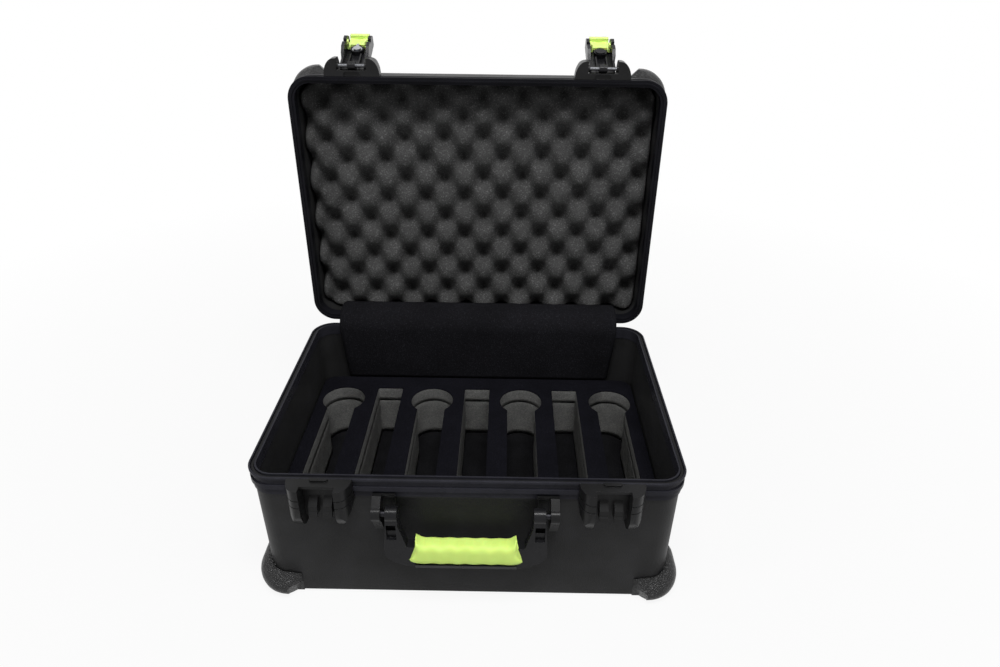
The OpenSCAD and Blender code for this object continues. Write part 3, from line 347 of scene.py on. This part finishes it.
def kept(node, material):
    """A solid that is shown as it is, with its finish."""
    data = NODES[node].data
    data.materials.clear()
    data.materials.append(material)


def drawn_in(x, y, half_w, half_d, radius):
    """Points of a rectangle, with those past a corner's centre drawn in to a round corner."""
    dx = np.maximum(0, np.abs(x) - half_w + radius)
    dy = np.maximum(0, np.abs(y) - half_d + radius)
    reach = np.hypot(dx, dy)
    share = np.where(reach > 0, np.maximum(dx, dy) / np.maximum(reach, 1e-9), 1.0)
    return (np.sign(x) * (np.abs(x) - dx + dx * share), np.sign(y) * (np.abs(y) - dy + dy * share))


def opened(points):
    """Points of the shut lid swung open by a quarter turn about the hinge axis."""
    points = np.asarray(points, float)
    x, y, z = points[..., 0], points[..., 1], points[..., 2]
    return np.stack([x, HINGE_Y + (z - HINGE_Z), HINGE_Z - (y - HINGE_Y)], -1)


def shut(points):
    """Points of the open lid swung shut again, the other way about opened."""
    x, y, z = points[..., 0], points[..., 1], points[..., 2]
    return np.stack([x, HINGE_Y - (z - HINGE_Z), HINGE_Z + (y - HINGE_Y)], -1)


# ---- rims ----

LIP_FROM, LIP_TO, BAND_FROM, BAND_TO = 5.0, 2.8, 18.8, 15.7
STEP_IN, SAME_LEVEL = 2.45, 0.05


def closer_steps(points, side=-1):
    """Rim points with the lip and the band under it cut shorter, as the photograph shows their shadows.

    depth = side (z - 169); where the point lies within 2.45 mm of the outline, 5 -> 2.8 and 18.8 -> 15.7
    """
    points = np.array(points, float)
    dx = np.abs(points[:, 0]) - CASE_W / 2 + CORNER_R
    dy = np.abs(points[:, 1]) - CASE_D / 2 + CORNER_R
    reach = np.hypot(np.maximum(dx, 0), np.maximum(dy, 0)) + np.minimum(np.maximum(dx, dy), 0)
    inset = CORNER_R - reach
    depth = side * (points[:, 2] - BASE_H)
    for old, new in ((LIP_FROM, LIP_TO), (BAND_FROM, BAND_TO)):
        here = (np.abs(depth - old) < SAME_LEVEL) & (inset < STEP_IN)
        points[here, 2] = BASE_H + side * new
    return points


# ---- foam in the lid ----

LID_IN, CRATE_SHORTER = SHELL_IN + WALL + LID_LEAN + SIDE_GAP, 2.1
CRATE_HALF = (CASE_W / 2 - LID_IN, CASE_D / 2 - LID_IN - CRATE_SHORTER)
CRATE_BACK, CRATE_LOW, CRATE_PEAK = 54.5, 19.5, 20.0
CRATE_PITCH, CRATE_AT, CRATE_SLANT = (49.8, 52.55), (6.5, 39.8), 0.028
CRATE_SHARP, CRATE_UNEVEN, CRATE_REST = 1.35, 0.5, 0.6
TOP_SINK, TOP_SINK_OVER, EDGE_SINK = 9.0, 15.0, 3.0
CRATE_COLUMNS, CRATE_ROWS = 290, 204


def egg_crate():
    """Depth = low + peak ((1 - w)/2)^1.35, w = -cos(2 pi x/pitch) cos(2 pi y/pitch), slightly uneven.

    The sheet sinks back along its edges, and more along the one at the top when the lid is open.
    """
    columns, rows = CRATE_COLUMNS, CRATE_ROWS
    u, v = np.meshgrid(np.linspace(-1, 1, columns), np.linspace(-1, 1, rows))
    x, y = drawn_in(u * CRATE_HALF[0], v * CRATE_HALF[1], *CRATE_HALF, CORNER_R - SHELL_IN - WALL)
    along = (x - CRATE_AT[0]) / CRATE_PITCH[0]
    up = (HINGE_Y - y - CRATE_AT[1] - CRATE_SLANT * x) / CRATE_PITCH[1]
    wave = -np.cos(2 * np.pi * along) * np.cos(2 * np.pi * up)
    uneven = CRATE_UNEVEN * np.sin(x * 0.061 + 1.3 * np.sin(y * 0.043)) * np.cos(y * 0.052 + 0.6)
    depth = CRATE_LOW + CRATE_PEAK * ((1 - wave) / 2) ** CRATE_SHARP + uneven + CRATE_REST
    edge = np.minimum(CRATE_HALF[0] - np.abs(x), CRATE_HALF[1] - np.abs(y))
    depth += TOP_SINK * np.clip(1 - (y + CRATE_HALF[1]) / TOP_SINK_OVER, 0, 1) ** 1.5
    depth += EDGE_SINK * np.clip(1 - edge / EDGE_SINK, 0, 1) ** 2
    front = np.stack([x, y, BASE_H + depth], -1).reshape(-1, 3)
    ring = np.concatenate([np.arange(columns), np.arange(2, rows + 1) * columns - 1,
                           (rows - 1) * columns + np.arange(columns - 2, -1, -1),
                           np.arange(rows - 2, 0, -1) * columns])
    back = front[ring].copy()
    back[:, 2] = BASE_H + CRATE_BACK
    count = len(ring)
    start = len(front)
    around = np.arange(count)
    nxt = (around + 1) % count
    sides = np.stack([ring[nxt], ring[around], start + around, start + nxt], -1).tolist()
    faces = grid_faces(rows, columns) + sides + [list(range(start, start + count))]
    faces = [list(reversed(f)) for f in faces]
    piece = new_piece("lid_foam_crate", opened(np.vstack([front, back])), faces, CRATE_FOAM,
                      "lid", ["lid_foam"])


# ---- foam in the base ----

TRAY_IN = SHELL_IN + WALL + WALL_LEAN + SIDE_GAP
TRAY_DEPTH, SHEET_T = 77.0, 21.0
TRAY_TOP = BASE_H - TRAY_DEPTH
SHEET_BOTTOM, PAD_TOP, PAD_BOTTOM = TRAY_TOP - SHEET_T, 16.5, 4.8
COVER_T, RIM_T = 9.5, 8.0
TRAY_BACK = CASE_D / 2 - RIM_T - SOFT_GAP - COVER_T - SIDE_GAP
NOTCH_WIDER, NOTCH_DEEPER, CORNER_POINTS = 1.6, 0.4, 7
COVER_HALF, SKIN_T = 183.0, 1.2
COVER_TURN, COVER_END = 170.0, 186.0
COVER_WIDENS, WIDENS_OVER, COVER_SOFT = 7.0, 70.0, 3.0
LOOSE_BELOW, LOOSE_END = 20.0, 10.0                  # the waves fade out over these
POCKET_PITCH, HEAD_R, HEAD_Y, NECK_W, SLOT_W = 60.0, 28.0, 88.0, 36.5, 34.0
SLOT_BACK, POCKET_FRONT = 115.5, -134.0
POCKETS, SLOT_CORNER = 7, 2.0
OUTLINE_STEP, WALL_STEP, WAIST = 5.0, 8, 0.35


def spaced(points, step):
    """A closed outline with points no further apart than step."""
    out = []
    for a, b in zip(points, points[1:] + points[:1]):
        n = max(1, int(math.dist(a, b) / step))
        out += [(a[0] + (b[0] - a[0]) * k / n, a[1] + (b[1] - a[1]) * k / n) for k in range(n)]
    return np.array(out)


def arc_points(cx, cy, radius, start, end, steps):
    """Points of an arc about a centre, angles in degrees."""
    t = np.radians(np.linspace(start, end, steps))
    return list(zip(cx + radius * np.cos(t), cy + radius * np.sin(t)))


def tray_outline():
    """Round-cornered rectangle with a notch at the front for the recess behind the handle."""
    half = CASE_W / 2 - TRAY_IN
    front, r = TRAY_IN - CASE_D / 2, CORNER_R - TRAY_IN
    notch_w = (RECESS_W + 2 * WALL + NOTCH_WIDER) / 2
    notch_y = -CASE_D / 2 + SHELL_IN + RECESS_D + WALL + WALL_LEAN + NOTCH_DEEPER
    points = arc_points(half - r, front + r, r, -90, 0, CORNER_POINTS)
    points += arc_points(half - r, TRAY_BACK - r, r, 0, 90, CORNER_POINTS)
    points += arc_points(r - half, TRAY_BACK - r, r, 90, 180, CORNER_POINTS)
    points += arc_points(r - half, front + r, r, 180, 270, CORNER_POINTS)
    points += [(-notch_w, front), (-notch_w, notch_y), (notch_w, notch_y), (notch_w, front)]
    return spaced([tuple(map(float, p)) for p in points], OUTLINE_STEP)


def pocket_outline(index):
    """A round-ended pocket, or a straight one with knife-cut corners, running back from the front."""
    x = (index - 3) * POCKET_PITCH
    if index % 2:
        half, back = SLOT_W / 2, SLOT_BACK
        points = [(x - half, POCKET_FRONT), (x + half, POCKET_FRONT)]
        r = SLOT_CORNER
        points += arc_points(x + half - r, back - r, r, 0, 90, 4)
        points += arc_points(x - half + r, back - r, r, 90, 180, 4)
    else:
        half = NECK_W / 2
        a = math.degrees(math.acos(half / HEAD_R))
        points = [(x - half, POCKET_FRONT), (x + half, POCKET_FRONT)]
        points += arc_points(x, HEAD_Y, HEAD_R, -a, 180 + a, 40)
    return spaced([tuple(map(float, p)) for p in points], OUTLINE_STEP)


def inward(outline, distance):
    """The outline moved towards its left-hand side, which is its inside if it runs anticlockwise."""
    before, after = np.roll(outline, 1, 0), np.roll(outline, -1, 0)
    along = after - before
    along /= np.maximum(np.linalg.norm(along, axis=1, keepdims=True), 1e-9)
    return outline + np.stack([-along[:, 1], along[:, 0]], -1) * distance


def foam_slab(name, z0, z1, material, node, holes=True, soft=1.2):
    """A foam sheet cut to outlines, with its upper edges rounded by soft and its walls slightly waisted."""
    edge = tray_outline()
    pockets = [pocket_outline(i) for i in range(POCKETS)] if holes else []
    outlines, signs = [edge] + pockets, [1.0] + [-1.0] * len(pockets)
    depth = z1 - z0
    steps = max(3, int(depth / WALL_STEP))
    rows = [(soft * (1 - math.cos(t)), z1 - soft * (1 - math.sin(t))) for t in np.radians([90, 60, 30, 0])]
    rows += [(WAIST * math.sin(math.pi * k / steps), z1 - soft - (depth - soft) * k / steps)
             for k in range(1, steps + 1)]
    points, faces, tops = [], [], []
    for outline, sign in zip(outlines, signs):
        n = len(outline)
        start = len(points)
        for move, z in rows:
            ring = inward(outline, sign * move)
            points += [(p[0], p[1], z) for p in ring]
        quads = grid_faces(len(rows), n, start, closed=True)
        faces += [q if sign < 0 else list(reversed(q)) for q in quads]
        tops.append((start, n, start + (len(rows) - 1) * n))
    for level, side in ((0, 1), (2, -1)):
        loops = [list(range(t[level], t[level] + t[1])) for t in tops]
        flat = [Vector(points[i][:2]) for loop in loops for i in loop]
        back_to = [i for loop in loops for i in loop]
        edges, at = [], 0
        for loop in loops:
            edges += [(at + k, at + (k + 1) % len(loop)) for k in range(len(loop))]
            at += len(loop)
        verts, _, tris, source, _, _ = delaunay_2d_cdt(flat, edges, [], 1, 1e-6)
        where = [back_to[s[0]] for s in source]
        for tri in tris:
            centre = sum((verts[k] for k in tri), Vector((0, 0))) / 3
            if inside(centre, pockets) or not inside(centre, [edge]):
                continue
            a, b, c = (verts[k] for k in tri)
            turn_way = (b - a).cross(c - a)
            order = [where[k] for k in tri]
            faces.append(order if (turn_way > 0) == (side > 0) else list(reversed(order)))
    piece = new_piece(name, points, faces, material, "base", [node])


def inside(point, outlines):
    """True if a point is inside any of the closed outlines, by crossing number."""
    for outline in outlines:
        x, y = outline[:, 0], outline[:, 1]
        x2, y2 = np.roll(x, -1), np.roll(y, -1)
        with np.errstate(divide="ignore", invalid="ignore"):
            crossing = (y > point[1]) != (y2 > point[1])
            at = (x2 - x) * (point[1] - y) / (y2 - y) + x
        if np.count_nonzero(crossing & (point[0] < at)) % 2:
            return True
    return False


def hinge_cover():
    """One foam sheet from the tray up the back wall, over the hinges and on to the lid's wall."""
    y_mid = CASE_D / 2 - SHELL_IN - WALL - TRAY_LEAN - SOFT_GAP - COVER_T / 2
    z_mid = HINGE_Z - (y_mid - HINGE_Y)
    y_end, z_turn = COVER_TURN, BASE_H - 3
    path = [(y_mid, z) for z in np.linspace(TRAY_TOP + 0.4, z_turn, 22)]
    path += [(y_mid + (y_end - y_mid) * (1 - math.cos(t)), z_turn + (z_mid - z_turn) * math.sin(t))
             for t in np.radians(np.linspace(0, 90, 15))[1:-1]]
    path += [(y, z_mid) for y in np.linspace(y_end, COVER_END, 6)]
    path = np.array(path)
    along = np.gradient(path, axis=0)
    along /= np.linalg.norm(along, axis=1, keepdims=True)
    normal = np.stack([-along[:, 1], along[:, 0]], -1)
    columns = 92
    x = np.linspace(-1, 1, columns) * COVER_HALF
    soft = np.clip(1 - (COVER_HALF - np.abs(x)) / COVER_SOFT, 0, 1)
    thick = COVER_T / 2 * np.sqrt(1 - 0.75 * soft ** 2)
    wave = 0.5 * np.sin(x * 0.05) + 0.3 * np.sin(x * 0.13 + 1)
    free = np.clip((path[:, 1] - BASE_H + LOOSE_BELOW) / LOOSE_BELOW, 0, 1)
    free = free * np.clip((COVER_END - path[:, 0]) / LOOSE_END, 0, 1)
    layers = []
    for side in (1, -1):
        offset = side * thick[None, :] + wave[None, :] * free[:, None]
        y = path[:, 0][:, None] + normal[:, 0][:, None] * offset
        z = path[:, 1][:, None] + normal[:, 1][:, None] * offset
        wider = 1 + COVER_WIDENS / COVER_HALF * np.clip((path[:, 1] - TRAY_TOP) / WIDENS_OVER, 0, 1)
        layers.append(np.stack([x[None, :] * wider[:, None], y, z], -1))
    rows = len(path)
    points = np.concatenate([layer.reshape(-1, 3) for layer in layers])
    n = rows * columns
    faces = [list(reversed(q)) for q in grid_faces(rows, columns)] + grid_faces(rows, columns, n)
    for j in range(columns - 1):
        faces.append([j, j + 1, n + j + 1, n + j])
        k = (rows - 1) * columns + j
        faces.append([k + 1, k, n + k, n + k + 1])
    for i in range(rows - 1):
        a, b = i * columns, (i + 1) * columns
        faces.append([b, a, n + a, n + b])
        a, b = a + columns - 1, b + columns - 1
        faces.append([a, b, n + b, n + a])
    piece = new_piece("hinge_cover_sheet", points, faces, COVER_FOAM, None)
    outward(piece)
    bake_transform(piece)
    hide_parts("hinge_cover_base", "hinge_cover_lid")


def outward(piece):
    """Turns every face of a closed piece outwards."""
    work = bmesh.new()
    work.from_mesh(piece.data)
    bmesh.ops.recalc_face_normals(work, faces=work.faces)
    work.to_mesh(piece.data)
    work.free()


# ---- the grip ----

HANDLE_Y, HANDLE_Z = -CASE_D / 2 - 10.8, BASE_H - 34.5
GRIP_TOP, GRIP_BOT, GRIP_HALF, GRIP_T = -37.0, -63.5, 52.0, 20.0
WAVES, WAVE_H, WAVE_SIDE, CORNER_FLARE = 6, 0.7, 0.35, 6.5
GRIP_SINK, GRIP_SQUARE = 1.2, 0.55
END_FROM, END_OVER, END_THINNER = 0.93, 0.07, 0.25
FLARE_UP = np.array([0.0, 1.0, 2.5, 4.5, 6.5, 8.5, 11.0, 14.0, 30.0])     # up from the grip's underside
FLARE_OUT = [2.0, 4.2, 5.8, 6.8, 6.9, 5.8, 3.2, 1.0, 0.0]                 # out past its end, at those


def grip():
    """Rounded section carried along the bar, with finger waves on top and ends that flare up and out."""
    columns, ring = 121, 56
    t = np.linspace(-1, 1, columns)
    around = np.linspace(0, 2 * np.pi, ring, endpoint=False)
    c, s = np.cos(around), np.sin(around)
    cy, cz = np.sign(c) * np.abs(c) ** GRIP_SQUARE, np.sign(s) * np.abs(s) ** GRIP_SQUARE
    top = GRIP_TOP - GRIP_SINK + CORNER_FLARE * np.abs(t) ** 14 + WAVE_H * np.cos(WAVES * np.pi * (t + 1))
    middle, half = (top + GRIP_BOT) / 2, (top - GRIP_BOT) / 2
    z = middle[:, None] + half[:, None] * cz[None, :]
    wide = np.interp(z, GRIP_BOT + FLARE_UP, FLARE_OUT)
    x = t[:, None] * GRIP_HALF + np.sign(t)[:, None] * np.abs(t)[:, None] ** 8 * wide
    y = (GRIP_T / 2 - WAVE_SIDE * np.cos(WAVES * np.pi * (t + 1))[:, None]) * cy[None, :]
    y = y * (1 - END_THINNER * np.clip((np.abs(t[:, None]) - END_FROM) / END_OVER, 0, 1) ** 2)
    points = np.stack([x, y + HANDLE_Y, z + HANDLE_Z], -1).reshape(-1, 3)
    faces = grid_faces(columns, ring, closed=True)
    faces += [list(range(ring)), list(range(len(points) - ring, len(points)))]
    piece = new_piece("handle_grip_moulded", points, faces, LIME_RUBBER, "handle",
                      ["handle_grip"])
    outward(piece)


# ---- corner boots ----

# sections [out from the shell, up from the sole]: of the short arm with its facet, and of the long arm
SHORT_ARM = [(0, 30.5), (1.2, 31.2), (2.8, 30.2), (6, 26), (9.2, 21.7), (12.3, 17.5), (13.4, 15.5),
             (13.9, 12.5), (12.9, 8.5), (10.2, 5.2), (5.6, 2), (0, 0.3), (-2, 0), (-13, 0)]
LONG_ARM = [(0, 35), (2, 35.8), (6, 35.2), (9.5, 33.2), (12, 30), (13.8, 26), (14.8, 21),
            (14.8, 15.5), (13.4, 9.5), (10.4, 5.4), (5.6, 2), (0, 0.3), (-2, 0), (-13, 0)]
BEHIND = [(-13, 0.9), (-2.6, 0.9), (-0.1, 3.6), (-0.1, 15.0), (-0.1, 28.0)]
SHORT_END, SHORT_WIDE, SHORT_FALL = 14.4, 14.2, 15
LONG_END, LONG_FULL, LONG_WIDE, LONG_FALL = 33.0, 17.0, 15.2, 16
BOOT_STEP, TURN_STEP, SECTION_STEPS = 0.6, 3, 4
BLEND_FROM, BLEND_OVER = 10, 60                      # degrees round the corner
DROP, DROP_OVER = 3.0, 20                            # the short arm's upper edge sinks towards its end
LOW_OVER, LOW_SHORTER, LOW_NARROWER = 18, 9, 0.2     # how far up the ends' slant reaches, and its amount
SOLE_Z, SOLE_LIFT, SOLE_OVER, CREASE_DEG = 0.9, 0.8, 4, 38


def finely(section, steps):
    """Points along a section, steps to each stretch, with its turns rounded by a running mean."""
    section = np.array(section, float)
    at = np.arange(len(section) * steps - steps + 1) / steps
    fine = np.stack([np.interp(at, np.arange(len(section)), section[:, k]) for k in (0, 1)], -1)
    padded = np.vstack([fine[:1], fine, fine[-1:]])
    return (padded[:-2] + 2 * padded[1:-1] + padded[2:]) / 4


def boot(side, mirror_x, mirror_y):
    """Section blended from the short arm round the corner to the long arm, cut off aslant at both ends.

    w = min(section, limit), the limit falling along each arm, and sooner near the sole;
    x, y = corner + (r - lean + w) n, with n turning by a quarter round the corner.
    """
    short, long_ = finely(SHORT_ARM, SECTION_STEPS), finely(LONG_ARM, SECTION_STEPS)
    arms = [(-d, 0.0) for d in np.arange(SHORT_END, 0, -BOOT_STEP)]
    arms += [(0.0, a) for a in range(0, 91, TURN_STEP)]
    arms += [(d, 90.0) for d in np.arange(BOOT_STEP, LONG_END, BOOT_STEP)]
    rings = []
    for along, angle in arms:
        mix = np.clip((angle - BLEND_FROM) / BLEND_OVER, 0, 1)
        mix = mix * mix * (3 - 2 * mix)
        section = short * (1 - mix) + long_ * mix
        drop = DROP * max(0.0, -along) / SHORT_FALL * np.clip(section[:, 1] / DROP_OVER, 0, 1)
        low = np.clip(1 - section[:, 1] / LOW_OVER, 0, 1)
        if along < 0:
            limit = SHORT_WIDE * (1 + (along - LOW_SHORTER * low) / SHORT_FALL)
        else:
            limit = LONG_WIDE * (1 - max(0.0, along - LONG_FULL) / LONG_FALL - LOW_NARROWER * low)
        out = np.minimum(section[:, 0], np.maximum(limit, 0.0))
        ring = np.vstack([np.stack([out, section[:, 1] - drop], -1), BEHIND])
        sole = (ring[:, 0] <= 0) & (ring[:, 1] < SOLE_Z)
        ring[sole, 1] = np.maximum(ring[sole, 1], SOLE_LIFT * min(1.0, max(0.0, -along) / SOLE_OVER))
        up = ring[:, 1]
        reach = CORNER_R - SHELL_IN - LEAN * (BASE_H - up) + ring[:, 0]
        turn = math.radians(angle)
        x = -reach * math.sin(turn) + max(0.0, -along)
        y = -reach * math.cos(turn) + max(0.0, along)
        rings.append(np.stack([x - CASE_W / 2 + CORNER_R, y - CASE_D / 2 + CORNER_R, up], -1))
    count = len(rings[0])
    points = np.concatenate(rings) * [-1 if mirror_x else 1, -1 if mirror_y else 1, 1]
    faces = grid_faces(len(rings), count, closed=True)
    faces += [list(range(count)), list(range(len(points) - count, len(points)))]
    piece = new_piece("boot_" + side, points, faces, FOOT, "base", ["foot_" + side])
    outward(piece)
    piece.data.set_sharp_from_angle(angle=math.radians(CREASE_DEG))


# ---- dress the case ----

egg_crate()
foam_slab("tray_top_skin", TRAY_TOP - SKIN_T, TRAY_TOP, TOP_FOAM, "foam_top_sheet", soft=0.5)
foam_slab("tray_top_sheet", SHEET_BOTTOM, TRAY_TOP - SKIN_T, BODY_FOAM, "foam_top_sheet",
          soft=0.3)
foam_slab("tray_body", PAD_TOP, SHEET_BOTTOM, BODY_FOAM, "foam_tray_body", soft=0.4)
foam_slab("tray_pad", PAD_BOTTOM, PAD_TOP, PAD_FOAM, "foam_base_pad", holes=False, soft=0.6)
hinge_cover()
grip()

for node in ("base_shell", "lid_shell"):
    softened(node, SHELL, 0.8)
softened("base_rim", TRIM, 0.7, shape=closer_steps)
# the lid rim takes the darker nylon with its painted shade
softened("lid_rim", LID_TRIM_PAINTED_SHADE, 0.7, shape=lambda points: opened(closer_steps(shut(points), 1)))
for node, width in (("keeper_left", 0.7), ("keeper_right", 0.7),
                    ("latch_bracket_left", 0.5), ("latch_bracket_right", 0.5),
                    ("handle_bracket_left", 1.5), ("handle_bracket_right", 1.5)):
    softened(node, GUARD, width)
for side, mirror_x in (("left", False), ("right", True)):
    boot("front_" + side, mirror_x, False)
    boot("back_" + side, mirror_x, True)
for node in ("bumper_front_left", "bumper_front_right", "bumper_back_left", "bumper_back_right"):
    softened(node, FOOT, 1.2, segments=3)
for node, width in (("lever_left", 0.3), ("lever_right", 0.3), ("lever_cap", 0.4), ("handle_frame", 1.4)):
    softened(node, LEVER, width)
for node in ("release_left", "release_right"):
    softened(node, LIME_PLASTIC, 0.3)
for node, material in (("rim_seal", SEAL), ("base_hinge_leaves", TRIM), ("lid_hinge_leaves", TRIM),
                       ("keeper_screws", STEEL), ("bracket_screws", STEEL), ("latch_screws", STEEL),
                       ("base_hinge_screws", STEEL), ("lid_hinge_screws", STEEL),
                       ("hinge_pins", STEEL), ("handle_pins", DARK_STEEL), ("latch_pins", SATIN_STEEL),
                       ("release_spring_left", STEEL), ("release_spring_right", STEEL),
                       ("lock_barrel", CHROME), ("lock_plug", CHROME)):
    kept(node, material)


# ---- floor, light and camera ----

AIR, FLOOR_REACH = 0.17, 12.0
WHITE_NEAR, WHITE_FAR, NEAR_M, FAR_M = 0.9, 1.0, 0.35, 1.3     # share of plain white in the floor as seen
# name, place and what it faces in metres, its two sides, watts
PANELS = (("key_panel", (0.1, -0.72, 1.95), (0, 0, 0.2), (1.1, 0.5), 36),
          ("left_panel", (-1.5, -0.8, 0.8), (0, 0, 0.2), (0.5, 1.2), 5.5),
          ("right_panel", (1.5, -0.6, 0.9), (0, 0, 0.2), (0.5, 1.2), 5))
EYE, EYE_LENS = (0.0363, -0.7103, 0.6516), 25.76
EYE_RIGHT, EYE_FORWARD = (0.99987, 0.01276, 0.01033), (-0.00599, 0.86911, -0.49457)


def looked_at(material):
    """1 for what the camera sees straight on, in a reflection or through something clear, else 0."""
    ray = add(material, "ShaderNodeLightPath")
    shiny = add(material, "ShaderNodeMath", {"operation": "MAXIMUM"},
                _0=ray.outputs["Is Camera Ray"], _1=ray.outputs["Is Glossy Ray"])
    return add(material, "ShaderNodeMath", {"operation": "MAXIMUM"}, _0=shiny.outputs["Value"],
               _1=ray.outputs["Is Transmission Ray"]).outputs["Value"]


def studio():
    """A pale floor under soft light from three panels, with the camera where the photograph was taken."""
    scene = bpy.context.scene
    scene.view_settings.view_transform = "Standard"
    world = bpy.data.worlds.new("studio_air")
    world.use_nodes = True
    scene.world = world
    background = world.node_tree.nodes["Background"]
    background.inputs["Strength"].default_value = AIR
    background.inputs["Color"].default_value = linear("#ffffff")
    seen = add(world, "ShaderNodeBackground", {"Strength": 1.0, "Color": linear("#ffffff")})
    mix = add(world, "ShaderNodeMixShader", {}, _0=looked_at(world), _1=background.outputs[0],
              _2=seen.outputs[0])
    link(world, mix.outputs[0], world.node_tree.nodes["World Output"].inputs["Surface"])

    paper, surface = new_material("pale_paper_sweep", "#cccccc", 0.9)
    white = add(paper, "ShaderNodeEmission", {"Strength": 1.0})
    place = add(paper, "ShaderNodeTexCoord").outputs["Object"]
    away = add(paper, "ShaderNodeVectorMath", {"operation": "LENGTH"}, _0=place)
    share = add(paper, "ShaderNodeMapRange", {"From Min": NEAR_M, "From Max": FAR_M,
                                              "To Min": WHITE_NEAR, "To Max": WHITE_FAR},
                Value=away.outputs["Value"])
    part = add(paper, "ShaderNodeMath", {"operation": "MULTIPLY"},
               _0=looked_at(paper), _1=share.outputs["Result"])
    both = add(paper, "ShaderNodeMixShader", {}, _0=part.outputs["Value"],
               _1=surface.outputs["BSDF"], _2=white.outputs["Emission"])
    link(paper, both.outputs["Shader"], paper.node_tree.nodes["Material Output"].inputs["Surface"])

    reach = FLOOR_REACH
    floor = bpy.data.meshes.new("floor")
    floor.from_pydata([(-reach, -reach, 0), (reach, -reach, 0), (reach, reach, 0), (-reach, reach, 0)],
                      [], [(0, 1, 2, 3)])
    floor.materials.append(paper)
    sweep = bpy.data.objects.new("floor", floor)
    scene.collection.objects.link(sweep)

    for name, place, aim, size, power in PANELS:
        light = bpy.data.lights.new(name, "AREA")
        light.shape, light.size, light.size_y = "RECTANGLE", *size
        light.energy = power
        lamp = bpy.data.objects.new(name, light)
        lamp.location = place
        lamp.rotation_euler = (Vector(aim) - Vector(place)).to_track_quat("-Z", "Y").to_euler()
        scene.collection.objects.link(lamp)

    camera = bpy.data.cameras.new("camera")
    camera.lens, camera.sensor_width = EYE_LENS, 36.0
    eye = bpy.data.objects.new("camera", camera)
    right = Vector(EYE_RIGHT).normalized()
    forward = Vector(EYE_FORWARD).normalized()
    right = (right - forward * right.dot(forward)).normalized()
    down = forward.cross(right)
    turned = Matrix((right, -down, -forward)).transposed()
    eye.matrix_world = Matrix.Translation(Vector(EYE)) @ turned.to_4x4()
    scene.collection.objects.link(eye)
    scene.camera = eye


studio()
